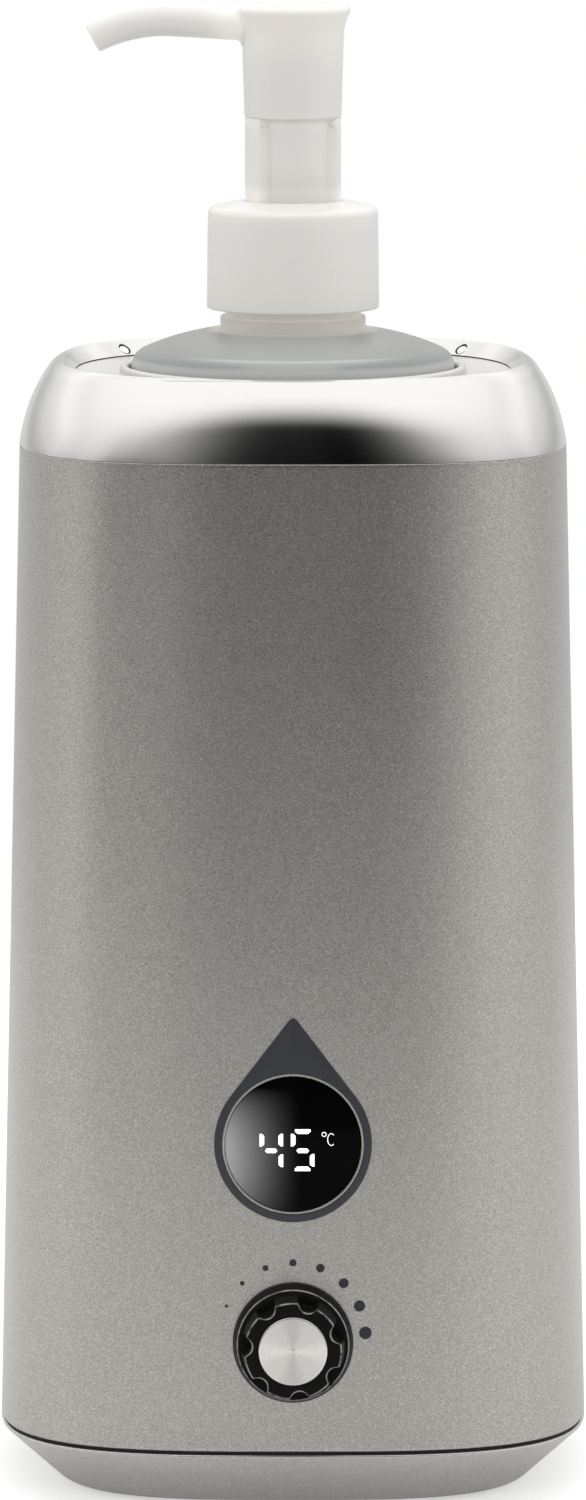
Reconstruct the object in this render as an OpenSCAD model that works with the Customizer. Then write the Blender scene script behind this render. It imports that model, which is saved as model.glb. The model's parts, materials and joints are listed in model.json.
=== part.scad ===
// Massage oil warmer: a heated square-round housing with a pump bottle standing in its well.
// Millimetres, +Z up. The origin is on the standing surface, under the middle of the base.
// The front, with the display and the knob, faces -Y, and the spout points to -X.

/* [Housing] */
// Half width of the housing at the seam above the base
seam_half = 54.2; // [52:0.1:58]
// Half width of the housing under the top ring
top_half = 50.3; // [49.5:0.1:52]
// Height of the shell from the seam to the top ring
shell_height = 180.2; // [172:0.1:200]
// Wall of the shell
shell_wall = 2.4; // [2:0.1:2.8]
// Squareness of the housing's plan, where 2 is round and more is squarer
plan_power = 3.26; // [3.1:0.02:3.5]
// Thickness of the webs and ribs inside the shell
web_t = 1.8; // [1.2:0.1:2.4]

/* [Base] */
// Height of the base between the feet and the seam
base_height = 10; // [8:0.1:13]
// Radius that rounds the base's bottom edge
base_edge_r = 4; // [2:0.1:6]
// Wall of the base, square to its sloped side
base_wall = 2.4; // [2:0.1:3]
// Thickness of the base's floor
base_floor = 4.4; // [4.2:0.1:5]
// Height of the black seam between base and shell
seam_gap = 0.6; // [0.3:0.1:1.2]
// How far the seam's strip stands back from the walls
seam_inset = 0.5; // [0.2:0.1:0.8]
// How far the feet hold the base off the table
foot_drop = 1.2; // [0.8:0.1:2.5]
// Radius of a rubber foot
foot_r = 6.5; // [5.5:0.1:8]
// Depth of the feet's seats in the base
foot_seat = 1.2; // [0.8:0.1:1.4]
// Distance of the feet and base screws from the middle, along X and along Y
foot_place = 28.5; // [26:0.1:29.5]

/* [Top ring] */
// Height of the ring above the shell
ring_height = 14.5; // [12.5:0.1:17]
// How far the ring's crest lies inside the shell's top edge
ring_inset = 7.5; // [7.1:0.1:7.9]
// Lean of the ring's wall where it leaves the shell
lean_low = 9; // [6:0.5:11]
// Lean of the wall where the wide curve runs into the tight one
lean_knee = 35; // [32:0.5:37]
// Lean of the wall at the crest
lean_crest = 70; // [64:0.5:76]
// Wall of the ring
ring_wall = 2; // [1.6:0.1:2.4]
// Squareness of the ring's plan at its crest
crest_power = 2.65; // [2.5:0.01:2.9]
// Squareness of the plan where the sloped inner wall meets the ledge
ledge_power = 2.55; // [2.4:0.01:2.7]
// Depth of the ledge below the crest
ledge_drop = 2.7; // [2:0.1:3.4]
// How far the sloped inner wall reaches in from the crest
ledge_reach = 2.6; // [2.2:0.1:3.4]
// Radius of the pins that hold the ring
pin_r = 1.3; // [1:0.05:1.5]
// Length of those pins
pin_length = 13; // [10:0.5:18]

/* [Well] */
// Gap between the bottle and the well
well_gap = 0.6; // [0.4:0.05:1.2]
// Depth of the well below the ledge
well_depth = 106.8; // [100:0.1:108]
// Wall of the heating cup
cup_wall = 1.2; // [0.8:0.1:1.6]
// Floor of the heating cup
cup_floor = 1.6; // [1.2:0.1:2.4]
// Radius that rounds the inside corner of the cup
cup_corner_r = 4.4; // [3:0.1:4.8]
// Thickness of the cup's flange, which is the ledge
flange_t = 1.4; // [1:0.1:2]
// Width of the raised lip round the mouth of the well
well_lip_w = 1.6; // [1.2:0.1:2]
// Height of that lip above the ledge
well_lip_h = 1.1; // [0.9:0.1:1.5]
// Height of the heater film
heater_h = 78; // [60:1:88]
// Thickness of the heater film
heater_t = 0.6; // [0.4:0.1:1]
// Thickness of the insulation
insulation_t = 3; // [2:0.1:4]

/* [Display] */
// Height of the display's middle above the knob's axis, along the front
display_rise = 36.4; // [32:0.1:44]
// Radius of the teardrop inlay's round part
drop_r = 14.3; // [14:0.05:15]
// Height of the teardrop's tip above its middle
drop_tip = 23; // [21:0.1:26]
// Radius that rounds the tip
drop_tip_r = 0.9; // [0.5:0.1:1.5]
// Radius of the round glass
lens_r = 12.4; // [12:0.05:12.7]
// Width of the bright ring round the glass
trim_w = 0.4; // [0.3:0.05:0.6]
// How far the inlay stands out of the shell
inlay_proud = 0.25; // [0.1:0.05:0.5]
// Depth of the inlay's seat in the shell
inlay_seat = 0.8; // [0.6:0.05:1]

/* [Knob] */
// Height of the knob's axis above the table
knob_z = 32; // [30:0.1:36]
// Radius of the knob at its foot
knob_r = 10.95; // [10.5:0.05:11.4]
// Radius at the top of the knob's skirt
skirt_r = 10.3; // [10:0.05:10.45]
// Height of the skirt
skirt_h = 3.4; // [3.2:0.1:4]
// Radius at the foot of the grip
grip_r = 9.5; // [9.3:0.05:9.8]
// Radius at the top of the grip
grip_top_r = 8.95; // [8.7:0.05:9.2]
// Height of the knob's face off the front
knob_h = 10; // [9.5:0.1:12]
// Number of scallops round the grip
scallops = 7; // [5:1:9]
// Radius of a scallop
scallop_r = 1.9; // [1.5:0.1:2.2]
// Depth of a scallop at the face
scallop_depth = 1.4; // [1:0.1:1.6]
// Radius of the turned disc on the face
cap_r = 6.25; // [5.8:0.05:6.6]
// Radius of the potentiometer's shaft
shaft_r = 3; // [2.8:0.1:3.2]

/* [Power inlet] */
// Height of the inlet at the rear above the table
inlet_z = 30; // [26:0.5:40]
// Radius of the inlet's rim
inlet_rim_r = 7; // [6.6:0.1:8]
// Radius of the socket
socket_r = 2.9; // [2.8:0.05:3.2]
// Radius of the pin in the socket
socket_pin_r = 1.05; // [0.8:0.05:1.2]

/* [Bottle] */
// Radius of the bottle
bottle_r = 29.8; // [28.5:0.1:30.5]
// Wall of the bottle
bottle_wall = 1.5; // [1:0.1:2]
// Height of the bottle's straight side, from its foot to the shoulder
bottle_side = 108; // [106:0.1:116]
// Radius that rounds the shoulder's edge
shoulder_r = 3.5; // [3:0.1:5]
// Radius of the bead at the foot of the neck
bead_r = 13.4; // [13:0.05:13.6]
// Radius of the neck above the bead
neck_r = 12.5; // [12.2:0.05:12.8]
// Radius of the neck's bore
neck_bore_r = 10.6; // [10.5:0.05:10.9]
// Height of the neck above the shoulder
neck_h = 18.2; // [17:0.1:22]

/* [Pump] */
// Radius at the foot of the closure
closure_r = 15.9; // [15.7:0.05:16.6]
// Radius near the top of the closure
closure_top_r = 15.65; // [15.4:0.05:15.7]
// How far the closure's skirt reaches below its top plate's underside
closure_skirt = 16.8; // [14.5:0.1:17]
// Thickness of the closure's top plate at its edge
closure_plate = 2; // [1.6:0.1:3]
// How far the top plate rises towards the sleeve
closure_crown = 1.1; // [0.4:0.1:1.8]
// Travel of the pump head
stroke = 14; // [10:0.5:16]
// Gap that is left under the head at the end of its travel
head_rest = 1.3; // [1:0.1:3]
// Radius of the guide sleeve
sleeve_r = 8.85; // [8.6:0.05:8.9]
// Radius of the sleeve's core, which shows where the wall is cut flat
sleeve_core_r = 7.25; // [7:0.05:7.4]
// Distance of that flat from the axis
sleeve_flat = 4.9; // [4.4:0.1:5.4]
// Turn of the flat from straight ahead
sleeve_turn = 12; // [-20:0.5:20]
// Radius of the head's body under its flared rim
head_r = 9.35; // [9.2:0.05:9.6]
// Radius of the head's foot
head_foot_r = 8.95; // [8.9:0.05:9.2]
// Radius of the head's flared rim
rim_r = 10.6; // [10.2:0.05:11.2]
// Height of the head
head_h = 20.5; // [19:0.1:24]
// Radius of the spout's tube
spout_r = 2.95; // [2.6:0.05:3.1]
// Radius of the spout's channel
channel_r = 1.7; // [1.2:0.05:1.9]
// Length of the spout's straight run, from the axis
spout_run = 22; // [18:0.5:28]
// Rise of the straight run
spout_rise = 3; // [0:0.5:6]
// Angle that the spout bends down through
spout_bend = 31; // [20:1:40]
// Radius of that bend, on the tube's axis
spout_bend_r = 28.4; // [20:0.2:36]
// Radius of the pump's stem
stem_r = 3.6; // [3.2:0.05:3.8]
// Radius of the pump's chamber
chamber_r = 5; // [4.8:0.05:5.4]
// Length of the pump's chamber
chamber_h = 38; // [35:0.5:46]
// Radius of the dip tube
dip_r = 3; // [2.6:0.05:3.2]
// Radius of the valve ball
ball_r = 2; // [1.8:0.05:2.2]

/* [Hidden] */
$fn = 64;

// Clearances: a snug seat, a running fit, parts that slide past each other, and bolts in holes
seat_gap = 0.1;
run_gap = 0.05;
slide_gap = 0.3;
hole_gap = 0.1;
// Overlap that joins the shapes of one solid
weld = 0.4;
// Points round the housing's plan and steps along a curve
plan_count = 96;
arc_steps = 8;
ring_steps = 6;

// Heights of the housing, from the table up
base_z = foot_drop;
seam_z = base_z + base_height;
shell_z = seam_z + seam_gap;
ring_z = shell_z + shell_height;
crest_z = ring_z + ring_height;
ledge_z = crest_z - ledge_drop;
flange_z = ledge_z - flange_t;
well_z = ledge_z - well_depth;
cup_z = well_z - cup_floor;

// Draft of the walls, and the frames of the front and rear faces
draft = atan((seam_half - top_half) / shell_height);

// Radii of the well, from the bottle out
cup_r = bottle_r + well_gap;
cup_outer_r = cup_r + cup_wall;
heater_r = cup_outer_r + seat_gap;
insulation_r = heater_r + heater_t + seat_gap;
heater_z = well_z + (well_depth - heater_h) * 0.4;
heater_seam = 20;
insulation_seam = 44;
insulation_end = 3;

// The ring's two arcs: a wide one from the shell to the knee and a tight one from the knee to the crest
wide_dz = sin(lean_knee) - sin(lean_low);
wide_dx = cos(lean_low) - cos(lean_knee);
tight_dz = sin(lean_crest) - sin(lean_knee);
tight_dx = cos(lean_knee) - cos(lean_crest);
arc_det = wide_dz * tight_dx - tight_dz * wide_dx;
wide_r = (ring_height * tight_dx - ring_inset * tight_dz) / arc_det;
tight_r = (ring_inset * wide_dz - ring_height * wide_dx) / arc_det;
crest_half = top_half - ring_inset;
ledge_half = crest_half - ledge_reach;
wide_x = top_half - wide_r * cos(lean_low);
wide_z = ring_z - wide_r * sin(lean_low);
tongue_h = 3;
tongue_t = 1.5;
tongue_half = top_half - shell_wall - slide_gap;
inner_r = wide_r - ring_wall;
inner_top_lean = asin((ledge_z - wide_z) / inner_r);
inner_low_lean = asin((ring_z + tongue_h - wide_z) / inner_r);
flange_half = wide_x + inner_r * cos(inner_top_lean) - slide_gap;
flange_power = crest_power + (plan_power - crest_power) * ledge_drop / ring_height;

// The pins stand in the middle of the sloped wall at the ring's corners
pin_place = (crest_half * diagonal(crest_power) + ledge_half * diagonal(ledge_power)) / 2;
post_r = pin_r + 1.9;
post_h = 52;

// Posts over the base screws
boss_r = 5;
boss_h = 2;
screw_post_h = 30;
boss_top_z = shell_z + boss_h;
screw_r = 1.5;
screw_head_r = 2.8;
screw_head_h = 1.8;
screw_length = 16;
screw_seat_z = base_z + base_floor;

// Boards, their standoffs and screws
board_t = 1.6;
board_depth = 11.4;
board_w = 44;
board_low = -12;
board_high = 14;
board_screw_r = 1;
board_head_r = 1.9;
board_head_h = 1.4;
board_screw_length = 6;
standoff_r = 3;
standoff_side = 18.5;
standoff_margin = 4;
floor_z = base_z + base_floor;
power_board_w = 56;
power_board_d = 34;
power_board_rise = 5;
power_board_z = floor_z + power_board_rise;
plug_h = 6;
plug_d = 5;
plug_edge = 1;
heater_plug_w = 24;
board_plug_w = 14;
coil_w = 16;
coil_d = 14;
coil_h = 13;
coil_x = -7;
capacitor_r = 4;
capacitor_h = 12;
capacitor_x = 8;
capacitor_y = 6;
switch_w = 4;
switch_d = 10;
switch_h = 14;
switch_x = 16.5;
chip_w = 8;
chip_t = 1.2;
resistor_w = 1.6;
resistor_l = 3.2;
resistor_t = 0.6;
resistor_step = 5;
resistor_rise = 9.6;

// Potentiometer, knob and their fixings
bushing_r = shaft_r + 0.6;
pot_r = 8;
pot_gap = 0.4;
washer_t = 0.5;
washer_r = 6.2;
nut_t = 2;
nut_r = 5.4;
knob_gap = 0.5;
knob_hub_z = washer_t + nut_t + 1;
knob_cavity_r = washer_r + slide_gap;
shaft_top = knob_h - 1.6;
shaft_flat = shaft_r * 0.5;
cap_t = 1;
cap_proud = 0.2;

// Inlet
inlet_body_r = inlet_rim_r - 1.4;
inlet_rim_t = 1.4;
inlet_depth = 13;
socket_depth = 9.5;
inlet_nut_r = inlet_body_r + 2.6;
inlet_nut_t = 2.2;
blade_w = 2.4;
blade_t = 0.6;
blade_l = 4;
blade_x = 2.6;

// Bottle: foot, two shoulder arcs and neck
foot_corner_r = cup_corner_r + well_gap;
bottle_push = 2;
edge_turn = 66;
crown_turn = 84;
side_top_z = well_z + bottle_side;
edge_x = bottle_r - shoulder_r;
bead_step = 0.2;
crown_r = (edge_x + shoulder_r * cos(edge_turn) - bead_r - bead_step) / (cos(edge_turn) - cos(crown_turn));
crown_x = edge_x - (crown_r - shoulder_r) * cos(edge_turn);
crown_z = side_top_z - (crown_r - shoulder_r) * sin(edge_turn);
neck_z = crown_z + crown_r * sin(crown_turn);
bead_h = 2.4;
bead_edge = 0.25;
neck_top_z = neck_z + neck_h;

// Pump heights, from the neck up
gasket_t = 1.2;
pump_flange_t = 1.2;
pump_flange_r = closure_top_r - 1.8 - slide_gap * 3;
plate_z = neck_top_z + gasket_t + pump_flange_t;
closure_edge_z = plate_z + closure_plate;
crown_top_z = closure_edge_z + closure_crown;
head_z = crown_top_z + stroke + head_rest;
sleeve_z = crown_top_z - 0.7;
guide_t = 2;
guide_z = sleeve_z - stroke - 0.5 - guide_t;
chamber_z = guide_z - chamber_h;
closure_bore_r = closure_top_r - 1.7;
sleeve_bore_r = sleeve_core_r - 1.4;
pump_cup_r = sleeve_r + slide_gap;
pump_cup_outer_r = neck_bore_r - slide_gap;
chamber_outer_r = chamber_r + 1;

// Valve, dip tube and spring
seat_lean = 32.5;
valve_r = 1.2;
cage_r = ball_r + 0.6;
cage_h = 3;
cage_z = chamber_z - cage_h;
cone_h = (cage_r - valve_r) / tan(seat_lean);
valve_z = cage_z - cone_h;
ball_z = valve_z + (ball_r + run_gap - valve_r * cos(seat_lean)) / sin(seat_lean);
tail_h = 8;
tail_r = dip_r + 1.2;
tail_top_z = valve_z - 1;
dip_wall = 0.8;
dip_low_z = well_z + bottle_push + bottle_wall + 2;
piston_h = 7;
piston_z = guide_z - seat_gap - piston_h;
stem_foot_h = 2.2;
stem_foot_z = piston_z - seat_gap - stem_foot_h;
stem_bore_r = stem_r - 1.8;
stem_foot_r = chamber_r - 0.7;
wire_r = 0.35;
spring_r = stem_foot_r - wire_r - 0.1;
spring_turns = 7;
spring_low_z = chamber_z + wire_r + seat_gap;
spring_high_z = stem_foot_z - wire_r - seat_gap;

// Head: skirt, socket for the stem and spout
skirt_wall = 1.2;
skirt_depth = 11;
head_top_z = head_z + head_h;
head_cavity_r = head_foot_r - skirt_wall;
socket_outer_r = sleeve_bore_r - slide_gap;
socket_top_z = head_top_z - 7;
spout_drop = 1.1;
spout_z = head_top_z - spout_r - spout_drop;
spigot_h = 3;

// Half width of the shell at a height
function half_at(z) = seam_half - (seam_half - top_half) * (z - shell_z) / shell_height;

// Place of a plan's corner on the diagonal, along X, for a half width of one
function diagonal(power) = pow(2, -1 / power);

// Points of a square-round plan
function plan(half, power) = [
    for (i = [0 : plan_count - 1])
        let (
            turn = 360 * i / plan_count - 90,
            c = cos(turn),
            s = sin(turn),
            reach = half / pow(pow(abs(c), power) + pow(abs(s), power), 1 / power)
        )
        [reach * c, reach * s]
];

// Points of an arc
function arc(x, y, r, from, to, steps = arc_steps) = [
    for (i = [0 : steps])
        let (turn = from + (to - from) * i / steps)
        [x + r * cos(turn), y + r * sin(turn)]
];

// Levels of a loft are [half width, height, power]; its points run level by level
function level_points(levels) = [
    for (level = levels)
        for (p = plan(level[0], level[2]))
            [p[0], p[1], level[1]]
];

// Two triangles for each step round a band between two levels
function band(low, high) = [
    for (i = [0 : plan_count - 1])
        let (
            next = (i + 1) % plan_count,
            a = low * plan_count + i,
            b = low * plan_count + next,
            c = high * plan_count + next,
            d = high * plan_count + i
        )
        each [[a, c, b], [a, d, c]]
];

// A closed wall whose section is the loop of levels, up the outside and down the inside
module loft_loop(levels) {
    count = len(levels);
    faces = [for (j = [0 : count - 1]) each band(j, (j + 1) % count)];
    polyhedron(level_points(levels), faces, convexity = 6);
}

// A solid between the first level and the last, which are closed flat
module loft_solid(levels) {
    count = len(levels);
    last = (count - 1) * plan_count;
    faces = concat(
        [[for (i = [0 : plan_count - 1]) i]],
        [for (j = [0 : count - 2]) each band(j, j + 1)],
        [[for (i = [plan_count - 1 : -1 : 0]) last + i]]
    );
    polyhedron(level_points(levels), faces, convexity = 6);
}

// Frame of the front face: its origin is on the face, where the knob's axis leaves it,
// with X to the right, Y up along the face and Z out of it
module on_front() {
    translate([0, -half_at(knob_z), knob_z])
        rotate([90 - draft, 0, 0])
            children();
}

// The same frame on the rear face, at the inlet
module on_rear() {
    rotate([0, 0, 180])
        translate([0, -half_at(inlet_z), inlet_z])
            rotate([90 - draft, 0, 0])
                children();
}

// One copy of the children in each corner of a square, turned to face the middle
module in_corners(place) {
    for (turn = [45 : 90 : 315])
        rotate([0, 0, turn])
            translate([place * sqrt(2), 0, 0])
                children();
}

// A straight tube
module pipe(outer, inner, height) {
    difference() {
        cylinder(r = outer, h = height);
        translate([0, 0, -weld])
            cylinder(r = inner, h = height + 2 * weld);
    }
}

// A straight round rod between two points
module rod(from, to, r) {
    step = to - from;
    translate(from)
        rotate([0, acos(step[2] / norm(step)), atan2(step[1], step[0])])
            cylinder(r = r, h = norm(step));
}

// A pan-head screw that points up, with its head's seat at the origin
module screw(r, head_r, head_h, length) {
    slot_w = head_r * 0.3;
    slot_h = head_h * 0.5;
    difference() {
        union() {
            translate([0, 0, -head_h])
                cylinder(r = head_r, h = head_h);
            translate([0, 0, -weld])
                cylinder(r = r, h = length + weld);
        }
        for (turn = [0, 90])
            rotate([0, 0, turn])
                translate([-head_r * 0.6, -slot_w / 2, -head_h - weld])
                    cube([head_r * 1.2, slot_w, slot_h + weld]);
    }
}

// Teardrop outline: a round part about the origin, with straight sides to a rounded tip above it
function teardrop(r, tip, tip_r) =
    let (
        reach = tip - tip_r,
        side = acos((r - tip_r) / reach)
    )
    concat(
        arc(0, 0, r, 90 + side, 450 - side, 6 * arc_steps),
        arc(0, reach, tip_r, 90 - side, 90 + side)
    );

// Power of the ring's plan at a height
function ring_power(z) =
    plan_power + (crest_power - plan_power) * max(0, min(1, (z - ring_z) / ring_height));

// The ring's section, from its foot up the outside, over the crest and back down the inside
function ring_section() = concat(
    arc(wide_x, wide_z, wide_r, lean_low, lean_knee, ring_steps),
    arc(
        wide_x + (wide_r - tight_r) * cos(lean_knee),
        wide_z + (wide_r - tight_r) * sin(lean_knee),
        tight_r, lean_knee + (lean_crest - lean_knee) / ring_steps, lean_crest, ring_steps - 1
    ),
    [[ledge_half, ledge_z]],
    arc(wide_x, wide_z, inner_r, inner_top_lean, inner_low_lean, 4),
    [
        [tongue_half - tongue_t, ring_z + tongue_t],
        [tongue_half - tongue_t, ring_z - tongue_h],
        [tongue_half, ring_z - tongue_h],
        [tongue_half, ring_z]
    ]
);

// The ledge's corner has its own power, so that the slope widens there
function section_power(point) = point == [ledge_half, ledge_z] ? ledge_power : ring_power(point[1]);

// The open space above the sloped inner wall
module funnel() {
    loft_solid([
        [ledge_half, ledge_z, ledge_power],
        [crest_half, crest_z, crest_power],
        [crest_half, crest_z + ring_height, crest_power]
    ]);
}

// Middle of the shell's wall on the diagonal, at a height
function wall_reach(z) = (half_at(z) - shell_wall / 2) * diagonal(plan_power) * sqrt(2);

// A web from a corner post out to the shell's wall
module web(place, low, high) {
    inner = place * sqrt(2);
    for (turn = [45 : 90 : 315])
        rotate([0, 0, turn])
            rotate([90, 0, 0])
                linear_extrude(web_t, center = true)
                    polygon([[inner, low], [wall_reach(low), low], [wall_reach(high), high], [inner, high]]);
}

// Places of the control board's standoffs on the front face
function standoffs() = [
    for (x = [-standoff_side, standoff_side])
        for (y = [board_low + standoff_margin, display_rise + board_high + standoff_margin])
            [x, y]
];

// Places of the power board's standoffs on the base
function power_standoffs() = [
    for (x = [-1, 1])
        for (y = [-1, 1])
            [x * (power_board_w / 2 - standoff_margin), y * (power_board_d / 2 - standoff_margin)]
];

// Outer shell with its corner posts, webs, standoffs and openings
module outer_shell() {
    post_low = flange_z - post_h;
    color([0.63, 0.63, 0.62]) difference() {
        union() {
            loft_loop([
                [seam_half, shell_z, plan_power],
                [top_half, ring_z, plan_power],
                [top_half - shell_wall, ring_z, plan_power],
                [seam_half - shell_wall, shell_z, plan_power]
            ]);
            in_corners(pin_place)
                translate([0, 0, post_low])
                    cylinder(r = post_r, h = post_h);
            web(pin_place, post_low, ring_z - tongue_h - 1);
            in_corners(foot_place)
                translate([0, 0, boss_top_z])
                    cylinder(r = boss_r, h = screw_post_h);
            web(foot_place, boss_top_z + 1, boss_top_z + screw_post_h);
            on_front()
                for (p = standoffs())
                    translate([p[0], p[1], -board_depth])
                        cylinder(r = standoff_r, h = board_depth - shell_wall * 0.6);
        }
        in_corners(pin_place)
            translate([0, 0, ledge_z - pin_length - 1])
                cylinder(r = pin_r + run_gap, h = pin_length + 1);
        in_corners(foot_place)
            translate([0, 0, boss_top_z - weld])
                cylinder(r = screw_r + run_gap, h = screw_length);
        on_front() {
            for (p = standoffs())
                translate([p[0], p[1], -board_depth - weld])
                    cylinder(r = board_screw_r + run_gap, h = board_screw_length);
            cylinder(r = bushing_r + hole_gap, h = 4 * shell_wall, center = true);
            translate([0, display_rise, -inlay_seat])
                linear_extrude(2 * shell_wall)
                    polygon(teardrop(drop_r + seat_gap, drop_tip + seat_gap, drop_tip_r + seat_gap));
            translate([0, display_rise, 0])
                cylinder(r = lens_r - 1.4, h = 4 * shell_wall, center = true);
        }
        on_rear()
            cylinder(r = inlet_body_r + hole_gap, h = 4 * shell_wall, center = true);
    }
}

// Bright ring with a rounded shoulder, a sloped inner wall and a tongue that plugs into the shell
module top_ring() {
    color([0.86, 0.86, 0.87]) difference() {
        loft_loop([for (p = ring_section()) [p[0], p[1], section_power(p)]]);
        in_corners(pin_place)
            translate([0, 0, flange_z])
                cylinder(r = pin_r + run_gap, h = ring_height);
    }
}

// Pins through the ring and the flange into the corner posts, cut flush with the sloped wall
module ring_pins() {
    color([0.8, 0.8, 0.81]) difference() {
        in_corners(pin_place)
            translate([0, 0, ledge_z - pin_length])
                cylinder(r = pin_r, h = pin_length + ledge_drop);
        funnel();
    }
}

// Drawn aluminium cup whose square-round flange is the ledge in the ring, with a lip round its mouth
module heating_cup() {
    outer_corner = cup_corner_r + cup_wall;
    lip_foot_z = flange_z + flange_t / 2;
    lip_round_r = well_lip_w / 2;
    color([0.72, 0.72, 0.73]) difference() {
        union() {
            translate([0, 0, flange_z])
                linear_extrude(flange_t)
                    difference() {
                        polygon(plan(flange_half, flange_power));
                        circle(r = cup_r + cup_wall / 2);
                    }
            rotate_extrude()
                polygon(concat(
                    [[0, cup_z]],
                    arc(cup_outer_r - outer_corner, cup_z + outer_corner, outer_corner, -90, 0),
                    [[cup_outer_r, lip_foot_z], [cup_r + well_lip_w, lip_foot_z]],
                    arc(cup_r + lip_round_r, ledge_z + well_lip_h - lip_round_r, lip_round_r, 0, 180),
                    arc(cup_r - cup_corner_r, well_z + cup_corner_r, cup_corner_r, 0, -90),
                    [[0, well_z]]
                ));
        }
        in_corners(pin_place)
            translate([0, 0, flange_z - weld])
                cylinder(r = pin_r + hole_gap, h = flange_t + 2 * weld);
    }
}

// A wrap round the well, open by an angle at the rear
module wrap(r, t, low, height, seam) {
    rotate([0, 0, 90 + seam / 2])
        rotate_extrude(angle = 360 - seam)
            translate([r, low])
                square([t, height]);
}

// Heater film round the cup
module heater_film() {
    color([0.78, 0.45, 0.16])
        wrap(heater_r, heater_t, heater_z, heater_h, heater_seam);
}

// Felt wrap round the heater
module insulation_sleeve() {
    low = well_z + insulation_end;
    color([0.86, 0.84, 0.78])
        wrap(insulation_r, insulation_t, low, flange_z - insulation_end - low, insulation_seam);
}

// Disc thermostat under the middle of the cup
module thermostat() {
    can_r = 8;
    can_h = 5;
    button_r = 6.2;
    button_h = 2.4;
    color([0.25, 0.25, 0.27]) union() {
        translate([0, 0, cup_z - can_h])
            cylinder(r = can_r, h = can_h);
        translate([0, 0, cup_z - can_h - button_h])
            cylinder(r = button_r, h = button_h + weld);
        for (side = [-1, 1])
            translate([side * 4 - 0.4, -2, cup_z - can_h - button_h - 6])
                cube([0.8, 4, 6 + weld]);
    }
}

// Thermal fuse that lies against the cup's floor, on its saddle
module thermal_fuse() {
    fuse_r = 2;
    fuse_l = 10;
    lead_r = 0.4;
    lead_l = 7;
    place_y = -16;
    saddle_t = 0.8;
    axis_z = cup_z - saddle_t - fuse_r + weld;
    color([0.75, 0.68, 0.5]) union() {
        translate([-fuse_l / 2, place_y, axis_z])
            rotate([0, 90, 0])
                cylinder(r = fuse_r, h = fuse_l);
        translate([-fuse_l / 2 - lead_l, place_y, axis_z])
            rotate([0, 90, 0])
                cylinder(r = lead_r, h = fuse_l + 2 * lead_l);
        translate([-fuse_l * 0.4, place_y - fuse_r, cup_z - saddle_t])
            cube([fuse_l * 0.8, 2 * fuse_r, saddle_t]);
    }
}

// Thermistor bead on its lug under the cup
module thermistor() {
    bead_h = 6;
    lug_t = 0.8;
    place_y = 16;
    color([0.15, 0.15, 0.16]) union() {
        translate([-4, place_y - 3, cup_z - lug_t])
            cube([8, 6, lug_t]);
        translate([0, place_y, cup_z - lug_t - bead_h])
            cylinder(r = 1.6, h = bead_h + weld / 2);
    }
}

// Black strip in the seam between shell and base
module seam_gasket() {
    color([0.05, 0.05, 0.05])
        translate([0, 0, seam_z])
            difference() {
                linear_extrude(seam_gap)
                    polygon(plan(seam_half - seam_inset, plan_power));
                translate([0, 0, -weld])
                    linear_extrude(seam_gap + 2 * weld)
                        polygon(plan(seam_half - shell_wall, plan_power));
            }
}

// Base with a sloped side, bosses for its screws, seats for its feet and standoffs for a board
module base_tray() {
    low_half = seam_half - base_height;
    tangent = base_edge_r * tan(22.5);
    rim_half = seam_half - base_wall * sqrt(2);
    floor_half = rim_half - (base_height - base_floor);
    side = arc(low_half - tangent, base_z + base_edge_r, base_edge_r, -90, -45, 5);
    color([0.62, 0.62, 0.61]) difference() {
        union() {
            loft_solid(concat(
                [for (p = side) [p[0], p[1], plan_power]],
                [
                    [seam_half, seam_z, plan_power],
                    [rim_half, seam_z, plan_power],
                    [floor_half, floor_z, plan_power]
                ]
            ));
            in_corners(foot_place)
                translate([0, 0, floor_z - weld])
                    cylinder(r = boss_r, h = boss_top_z - floor_z + weld);
            for (p = power_standoffs())
                translate([p[0], p[1], floor_z - weld])
                    cylinder(r = standoff_r, h = power_board_rise + weld);
        }
        in_corners(foot_place) {
            translate([0, 0, base_z - weld])
                cylinder(r = foot_r + hole_gap, h = foot_seat + weld);
            translate([0, 0, base_z])
                cylinder(r = screw_head_r + hole_gap, h = base_floor);
            translate([0, 0, base_z])
                cylinder(r = screw_r + hole_gap, h = boss_top_z);
        }
        for (p = power_standoffs())
            translate([p[0], p[1], power_board_z + board_t - board_screw_length])
                cylinder(r = board_screw_r + run_gap, h = board_screw_length);
    }
}

// Four rubber feet in their seats, over the base screws
module rubber_feet() {
    edge = 0.4;
    color([0.08, 0.08, 0.08])
        in_corners(foot_place)
            rotate_extrude()
                polygon([
                    [0, 0], [foot_r - edge, 0], [foot_r, edge],
                    [foot_r, foot_drop + foot_seat], [0, foot_drop + foot_seat]
                ]);
}

// Screws that hold the base to the shell
module base_screws() {
    color([0.6, 0.6, 0.62])
        in_corners(foot_place)
            translate([0, 0, screw_seat_z])
                screw(screw_r, screw_head_r, screw_head_h, screw_length);
}

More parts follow.
